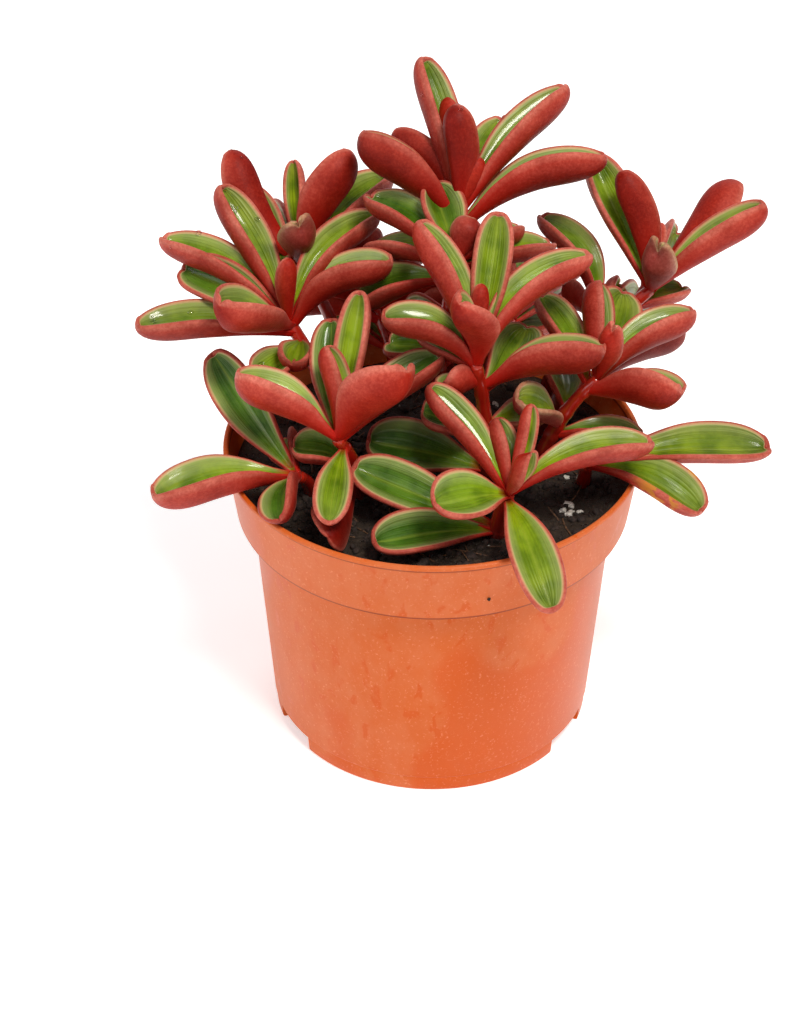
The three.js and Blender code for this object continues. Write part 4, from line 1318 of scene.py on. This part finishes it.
@dataclass(frozen=True)
class NurseryPot:
    """The tapered pot: collar with a ledge, rounded lip, thin wall and a foot with channels."""

    height: float = 92.7
    rim_radius: float = 60.0
    lip: float = 1.5
    band_height: float = 20.4
    band_foot_radius: float = 57.0
    body_top_radius: float = 52.5
    base_radius: float = 47.5
    wall: float = 1.5
    channel_angles: tuple[float, ...] = (30.0, 150.0, 270.0)
    channel_half_width: float = 10.5  # degrees
    channel_height: float = 5.5
    channel_inner: float = 34.0
    hole_radius: float = 4.2
    hole_at: float = 41.0  # mm from the axis
    hole_sides: int = 32
    segments: int = 192

    @property
    def ledge(self) -> float:
        """Height of the collar's lower edge."""
        return self.height - self.band_height

    def body_radius(self, z: float) -> float:
        """Returns the body's outer radius at a height."""
        return self.base_radius + (self.body_top_radius - self.base_radius) * z / self.ledge

    def band_radius(self, z: float) -> float:
        """Returns the collar's outer radius at a height."""
        share = (z - self.ledge) / self.band_height
        return self.band_foot_radius + (self.rim_radius - self.band_foot_radius) * share

    def inner_profile(self, gap: float, top: float) -> list[tuple[float, float]]:
        """Returns the inner wall's profile from the floor's middle up.

        Args:
            gap: How far it is moved inwards, mm.
            top: The height at which it ends, mm.

        Returns:
            Radius and height of each point.
        """
        ledge, inset = self.ledge, self.wall + gap
        return [
            (0.0, inset),
            (self.body_radius(inset) - inset - 1.5, inset),
            (self.body_radius(inset + 0.5) - inset - 0.6, inset + 0.5),
            (self.body_radius(inset + 1.5) - inset, inset + 1.5),
            (self.body_top_radius - inset, ledge - 0.5 + inset * 0.4),
            (self.body_top_radius - inset + 0.5, ledge - 0.2 + inset * 0.6),
            (self.band_radius(ledge + inset + 0.6) - inset, ledge + inset + 0.6),
            (self.band_radius(top) - inset, top),
        ]

    def outer_profile(self) -> list[tuple[float, float]]:
        """Returns the outer wall's profile from the underside up to the lip, edges rounded."""
        foot, lip_foot = self.channel_height, self.height - self.lip
        steps = [
            (self.base_radius, [(-0.7, 0.0), (-0.2, 0.2), (0.0, 0.7)], 0.0),
            (self.body_radius(foot), [(-0.05, -0.15), (0.12, 0.05), (0.22, 0.35)], foot),
            (self.body_top_radius, [(-0.1, -1.6), (0.15, -0.7), (0.8, -0.2)], self.ledge),
            (self.band_foot_radius, [(-0.8, 0.0), (-0.2, 0.2), (0.05, 0.8)], self.ledge),
            (self.band_radius(lip_foot), [(-0.45, -0.35), (-0.25, -0.1)], lip_foot),
            (self.rim_radius, [(-0.1, 0.15), (0.0, 0.6)], lip_foot),
            (self.rim_radius, [(-0.12, -0.4), (-0.45, -0.08), (-0.8, 0.0)], self.height),
        ]
        return [(radius + out, z + up) for radius, corner, z in steps for out, up in corner]

    def solid(self, name: str, profile: Sequence[tuple[float, float]], top: float) -> Piece:
        """Turns a profile into a closed mesh, from its own foot up to a top."""
        skin = Skin()
        skin.loft(turned(profile, self.segments), on_axis(profile[0][1]), on_axis(top))
        return skin.build(name)

    def block(self, name: str, outline: Vec, low: float, high: float) -> Piece:
        """Raises an outline into a block between two heights."""
        skin = Skin()
        skin.loft([np.c_[outline, np.full(len(outline), z)] for z in (low, high)])
        return skin.build(name)

    def sector(self, middle: float, grown: float) -> Vec:
        """Returns a drain channel's outline, or the floor's over it when grown by the wall."""
        spread = math.radians(self.channel_half_width) + grown / self.base_radius
        angles = np.linspace(-spread, spread, 9) - math.radians(middle)
        arc = np.stack([np.cos(angles), np.sin(angles)], -1)
        inner, outer = (self.channel_inner - grown) * arc, (self.base_radius + 4.0) * arc[::-1]
        return np.concatenate([inner, outer])[::-1]

    def build(self, plastic: Material) -> Piece:
        """Builds the pot and puts it in the place of its CAD node."""
        top, mouth = self.height, self.rim_radius - self.lip
        flare = (-0.1, -0.8), (0.2, -0.2), (0.7, 0.05), (1.4, 1.0)  # out and up, over the lip
        cavity = self.inner_profile(0.0, top - 1.4)[1:]
        cavity += [(mouth + out, top + up) for out, up in flare]
        inside = self.solid("pot_inside", cavity, top + 1.0)
        pot = self.solid("nursery_pot", self.outer_profile(), top)
        for middle in self.channel_angles:
            outline = self.sector(middle, self.wall)
            cut(inside, self.block("cover", outline, -2.0, self.channel_height + self.wall))
        cut(pot, inside)
        for middle in self.channel_angles:
            cut(pot, self.block("channel", self.sector(middle, 0.0), -2.0, self.channel_height))
            turn, round_hole = -math.radians(middle), circle(self.hole_sides)
            place = self.hole_at * np.array([math.cos(turn), math.sin(turn)])
            hole = place + self.hole_radius * np.stack([np.cos(round_hole), np.sin(round_hole)], -1)
            cut(pot, self.block("drill", hole, 3.0, 9.0))
        pot.data.materials.clear()
        pot.data.materials.append(plastic)
        shade_by_angle(pot, 32.0)
        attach(pot, BODY)
        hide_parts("pot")
        LOG.info("%s: %d faces", pot.name, len(pot.data.polygons))
        return pot


def cut(piece: Piece, tool: Piece) -> None:
    """Cuts a tool's shape out of a piece and removes the tool."""
    modifier = piece.modifiers.new("cut", "BOOLEAN")
    modifier.operation = "DIFFERENCE"
    modifier.solver = "EXACT"
    modifier.object = tool
    bpy.context.view_layer.update()
    made = bpy.data.meshes.new_from_object(piece.evaluated_get(bpy.context.evaluated_depsgraph_get()))
    piece.modifiers.clear()
    piece.data = made
    bpy.data.objects.remove(tool)


def shade_by_angle(piece: Piece, degrees: float) -> None:
    """Shades a piece smooth, with sharp edges where its faces meet at a steeper angle."""
    shape = bmesh.new()
    shape.from_mesh(piece.data)
    for face in shape.faces:
        face.smooth = True
    limit = math.radians(degrees)
    for edge in shape.edges:
        edge.smooth = len(edge.link_faces) == 2 and edge.calc_face_angle(0.0) < limit
    shape.to_mesh(piece.data)
    shape.free()


# ------------------------------------------------------------------ potting mix


@dataclass(frozen=True)
class PottingMix:
    """Moist peat with crumbs, perlite and bark fibres, filling the pot."""

    pot: NurseryPot
    level: float = 83.0
    clearance: float = 0.35
    rings: int = 70
    segments: int = 220
    crumbs: int = 1500
    perlite: int = 60
    fibres: int = 90
    spill: int = 11  # perlite grains that lie together near the rim
    spill_at: tuple[float, float] = (39.5, -22.5)
    spill_reach: float = 4.5
    stray_at: tuple[float, float, float] = (15.6, -55.9, 79.0)  # a crumb stuck on the collar
    shore: float = 4.0  # mm, how far from the wall the surface turns fully lumpy
    dents: float = 0.55  # how deep a granule's dents are, as a share of its radius
    proud: float = 0.15  # how far a granule's middle stands out of the surface
    fibre_length: tuple[float, float] = (3.5, 13.0)
    fibre_radius: tuple[float, float] = (0.14, 0.42)
    fibre_sides: int = 7
    seed: int = 5

    def height_at(self, x: float, y: float) -> float:
        """Returns how far the surface stands above the soil's level at a point, mm."""
        lumps = ((1.1, 0.07, 3.0), (0.8, 0.25, 9.0), (0.45, 0.8, 1.0))  # mm, per mm, slice
        return sum(high * noise.noise(Vector((x * fine, y * fine, z))) for high, fine, z in lumps)

    def body(self, peat: Material) -> Piece:
        """Builds the mass of the mix, lumpy on top."""
        sides = self.pot.inner_profile(self.clearance, self.level)[1:]
        rim = sides[-1][0]
        top = [(rim * (1 - i / self.rings), self.level) for i in range(1, self.rings)]
        floor = self.pot.channel_height + self.pot.wall + self.clearance
        rings = turned([*sides, *top], self.segments)
        for ring in rings[: len(sides)]:
            ring[:, 2] = np.maximum(ring[:, 2], floor)
        for ring, (r, _) in zip(rings[len(sides) :], top):
            shore = float(smooth(0.0, self.shore, np.array(rim - r)))
            ring[:, 2] += [shore * self.height_at(x, y) for x, y, _ in ring]
        skin = Skin()
        skin.loft(rings, on_axis(floor), on_axis(self.level + self.height_at(0.0, 0.0)))
        return skin.build("potting_mix", peat)

    def scatter(
        self, draw: np.random.Generator, reach: float, middle: tuple[float, float] = (0.0, 0.0)
    ) -> Vec:
        """Returns a random point on the surface within a reach of a middle, mm."""
        r, turn = reach * math.sqrt(draw.uniform()), draw.uniform(0, 2 * math.pi)
        x, y = middle[0] + r * math.cos(turn), middle[1] + r * math.sin(turn)
        return np.array([x, y, self.level + self.height_at(x, y)])

    def granules(
        self,
        name: str,
        places: Sequence[Vec],
        sizes: tuple[float, float],
        stuff: Material,
        draw: np.random.Generator,
    ) -> Piece:
        """Makes irregular granules.

        Args:
            name: The piece's name.
            places: Where each one lies, mm.
            sizes: Smallest and largest radius, mm.
            stuff: Their material.
            draw: The random draw.

        Returns:
            One mesh of all the granules.
        """
        smooth_ball, (low, high) = ball()[0], sizes
        shapes = []
        for place in places:
            size = low + (high - low) * draw.uniform() ** 2.5
            stretch = draw.uniform(0.6, 1.3, 3) * np.array([1.0, 1.0, 0.75])
            shift = draw.uniform(0, 50, 3)
            dents = np.array([noise.noise(Vector(p * 1.3 + shift)) for p in smooth_ball])
            shape = smooth_ball * stretch * (size * (1 + self.dents * dents))[:, None]
            turn = draw.uniform(0, 2 * math.pi)
            cos, sin = math.cos(turn), math.sin(turn)
            spin = np.array([[cos, -sin, 0], [sin, cos, 0], [0, 0, 1]])
            shapes.append(shape @ spin.T + place + [0.0, 0.0, size * self.proud])
        return swarm(name, shapes, stuff)

    def threads(self, bark: Material) -> Piece:
        """Scatters thin bent fibres and twigs over the surface."""
        draw = np.random.default_rng(self.seed + 3)
        skin, turn = Skin(), circle(self.fibre_sides)[:, None]
        for _ in range(self.fibres):
            middle = self.scatter(draw, self.pot.band_foot_radius - 9.0)
            length, radius = draw.uniform(*self.fibre_length), draw.uniform(*self.fibre_radius)
            ahead = compass(draw.uniform(0, 360), draw.uniform(-8, 22))
            beside = np.cross(ahead, [0, 0, 1.0])
            bend = beside * draw.uniform(-0.25, 0.25) * length
            out = unit(beside)
            rings = []
            for s in np.linspace(-0.5, 0.5, 7):
                at = middle + ahead * length * s + bend * (0.25 - s * s) * 2 + [0, 0, 0.35]
                rings.append(hoop(at, ahead, out, radius * (1 - abs(s) * 0.6), turn))
            skin.loft(rings)
        return skin.build("bark_fibres", bark)

    def build(self) -> None:
        """Builds the mix and what lies on it, in the place of its CAD node."""
        body = self.body(MoistPeat().build())
        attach(body, BODY)
        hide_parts("soil")
        crumb = Granule("peat crumb", "#17100D", "#3A2B24", 0.8, 0.85).build()
        white = Granule("expanded perlite", "#B9B4A8", "#F2EFE6", 0.5, 0.8).build()
        bark = Granule("bark fibre", "#2C1B12", "#7A5638", 0.6, 0.7).build()
        draw = np.random.default_rng(self.seed)
        reach = self.pot.band_foot_radius - 4.0
        crumbs = [self.scatter(draw, reach) for _ in range(self.crumbs)]
        grains = [self.scatter(draw, reach) for _ in range(self.perlite)]
        spill = [self.scatter(draw, self.spill_reach, self.spill_at) for _ in range(self.spill)]
        loose = [
            self.granules("peat_crumbs", crumbs, (0.35, 1.9), crumb, draw),
            self.granules("perlite_grains", grains, (0.35, 1.15), white, draw),
            self.granules("perlite_spill", spill, (0.6, 1.7), white, draw),
            self.granules("stray_crumb", [np.array(self.stray_at)], (0.42, 0.5), crumb, draw),
            self.threads(bark),
        ]
        for piece in loose:
            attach(piece, BODY)
        for piece in [body, *loose]:
            LOG.info("%s: %d faces", piece.name, len(piece.data.polygons))


# ------------------------------------------------------------------ the studio


@dataclass(frozen=True)
class Studio:
    """A pale floor, soft light and the camera."""

    floor_side: float = 12.0  # m
    below: float = 0.05  # mm, how far the floor lies under the pot
    sky: float = 0.42
    glow: float = 0.4  # how brightly the floor shines by itself, painted light that keeps its shadows faint
    aim: tuple[float, float, float] = (0.0, 0.0, 0.1)  # m, where the lamps look

    def floor(self) -> None:
        """Lays the plain pale floor, which glows a little so that shadows stay faint."""
        # The floor's glow is painted light: it fades the shadows on the floor.
        paint = Shading("pale floor with painted glow")
        colour = paint.ramp(paint.noise(25.0, 3), (0.3, "#FCFCFC"), (0.7, "#FFFFFF"))
        material = paint.finish(
            colour, 0.9, Specular_IOR_Level=0.2, Emission_Color="#FFFFFF", Emission_Strength=self.glow
        )
        half = self.floor_side / 2 / MM
        corners = [[x * half, y * half, -self.below] for x, y in ((-1, -1), (1, -1), (1, 1), (-1, 1))]
        floor = mesh_object("floor", np.array(corners), [[0, 1, 2, 3]], [material])

    def lamp(self, name: str, place: Sequence[float], size: float, watts: float, tint: str) -> None:
        """Hangs one soft lamp that looks at the plant.

        Args:
            name: The lamp's name.
            place: Where it hangs, m.
            size: Side of its square face, m.
            watts: Its power.
            tint: Its colour.
        """
        data = bpy.data.lights.new(name, "AREA")
        data.shape = "SQUARE"
        data.size = size
        data.energy = watts
        data.color = linear(tint)[:3]
        lamp = bpy.data.objects.new(name, data)
        lamp.location = place
        towards = Vector(self.aim) - Vector(place)
        lamp.rotation_euler = towards.to_track_quat("-Z", "Y").to_euler()
        bpy.context.scene.collection.objects.link(lamp)

    def camera(self) -> None:
        """Puts the camera at the viewpoint."""
        data = bpy.data.cameras.new("camera")
        data.sensor_width = VIEW.sensor
        data.lens = VIEW.focal * VIEW.sensor / max(VIEW.picture)
        data.clip_start = 0.01
        camera = bpy.data.objects.new("camera", data)
        forward, right, up = VIEW.axes()
        columns = np.stack([right, up, -forward, VIEW.eye() * MM], -1)
        camera.matrix_world = Matrix([*columns.tolist(), [0.0, 0.0, 0.0, 1.0]])
        bpy.context.scene.collection.objects.link(camera)
        bpy.context.scene.camera = camera

    def build(self) -> None:
        """Sets up the floor, the light and the camera."""
        scene = bpy.context.scene
        scene.view_settings.view_transform = "Standard"
        world = bpy.data.worlds.new("studio")
        world.use_nodes = True
        world.node_tree.nodes.clear()
        sky = add(world.node_tree, "Background", {"Color": "#FFFFFF", "Strength": self.sky})
        add(world.node_tree, "OutputWorld", {"Surface": sky})
        scene.world = world
        self.floor()
        self.lamp("key", (0.3, -0.5, 1.15), 0.34, 12.0, "#FFFAF2")
        self.lamp("fill", (-0.9, -0.5, 0.7), 0.8, 3.2, "#F4F8FF")
        self.lamp("rim", (0.2, 1.0, 0.8), 0.8, 2.8, "#FFFFFF")
        self.camera()


def main() -> None:
    """Builds the pot, its mix and the plant in the studio."""
    logging.basicConfig(level=logging.INFO, format="%(name)s: %(message)s")
    pot = NurseryPot()
    pot.build(MouldedPolypropylene().build())
    mix = PottingMix(pot)
    mix.build()
    leaf, stem, dew = WaxyLeaf().build(), SucculentStem().build(), Dew()
    for number, (node, names) in enumerate(GROWTH.items()):
        piece = LeafyStem(node, [STEMS[name] for name in names], mix.level, 1000 * (number + 1))
        piece.build(leaf, stem, dew)
    dew.build()
    Studio().build()


if __name__ == "__main__":
    main()
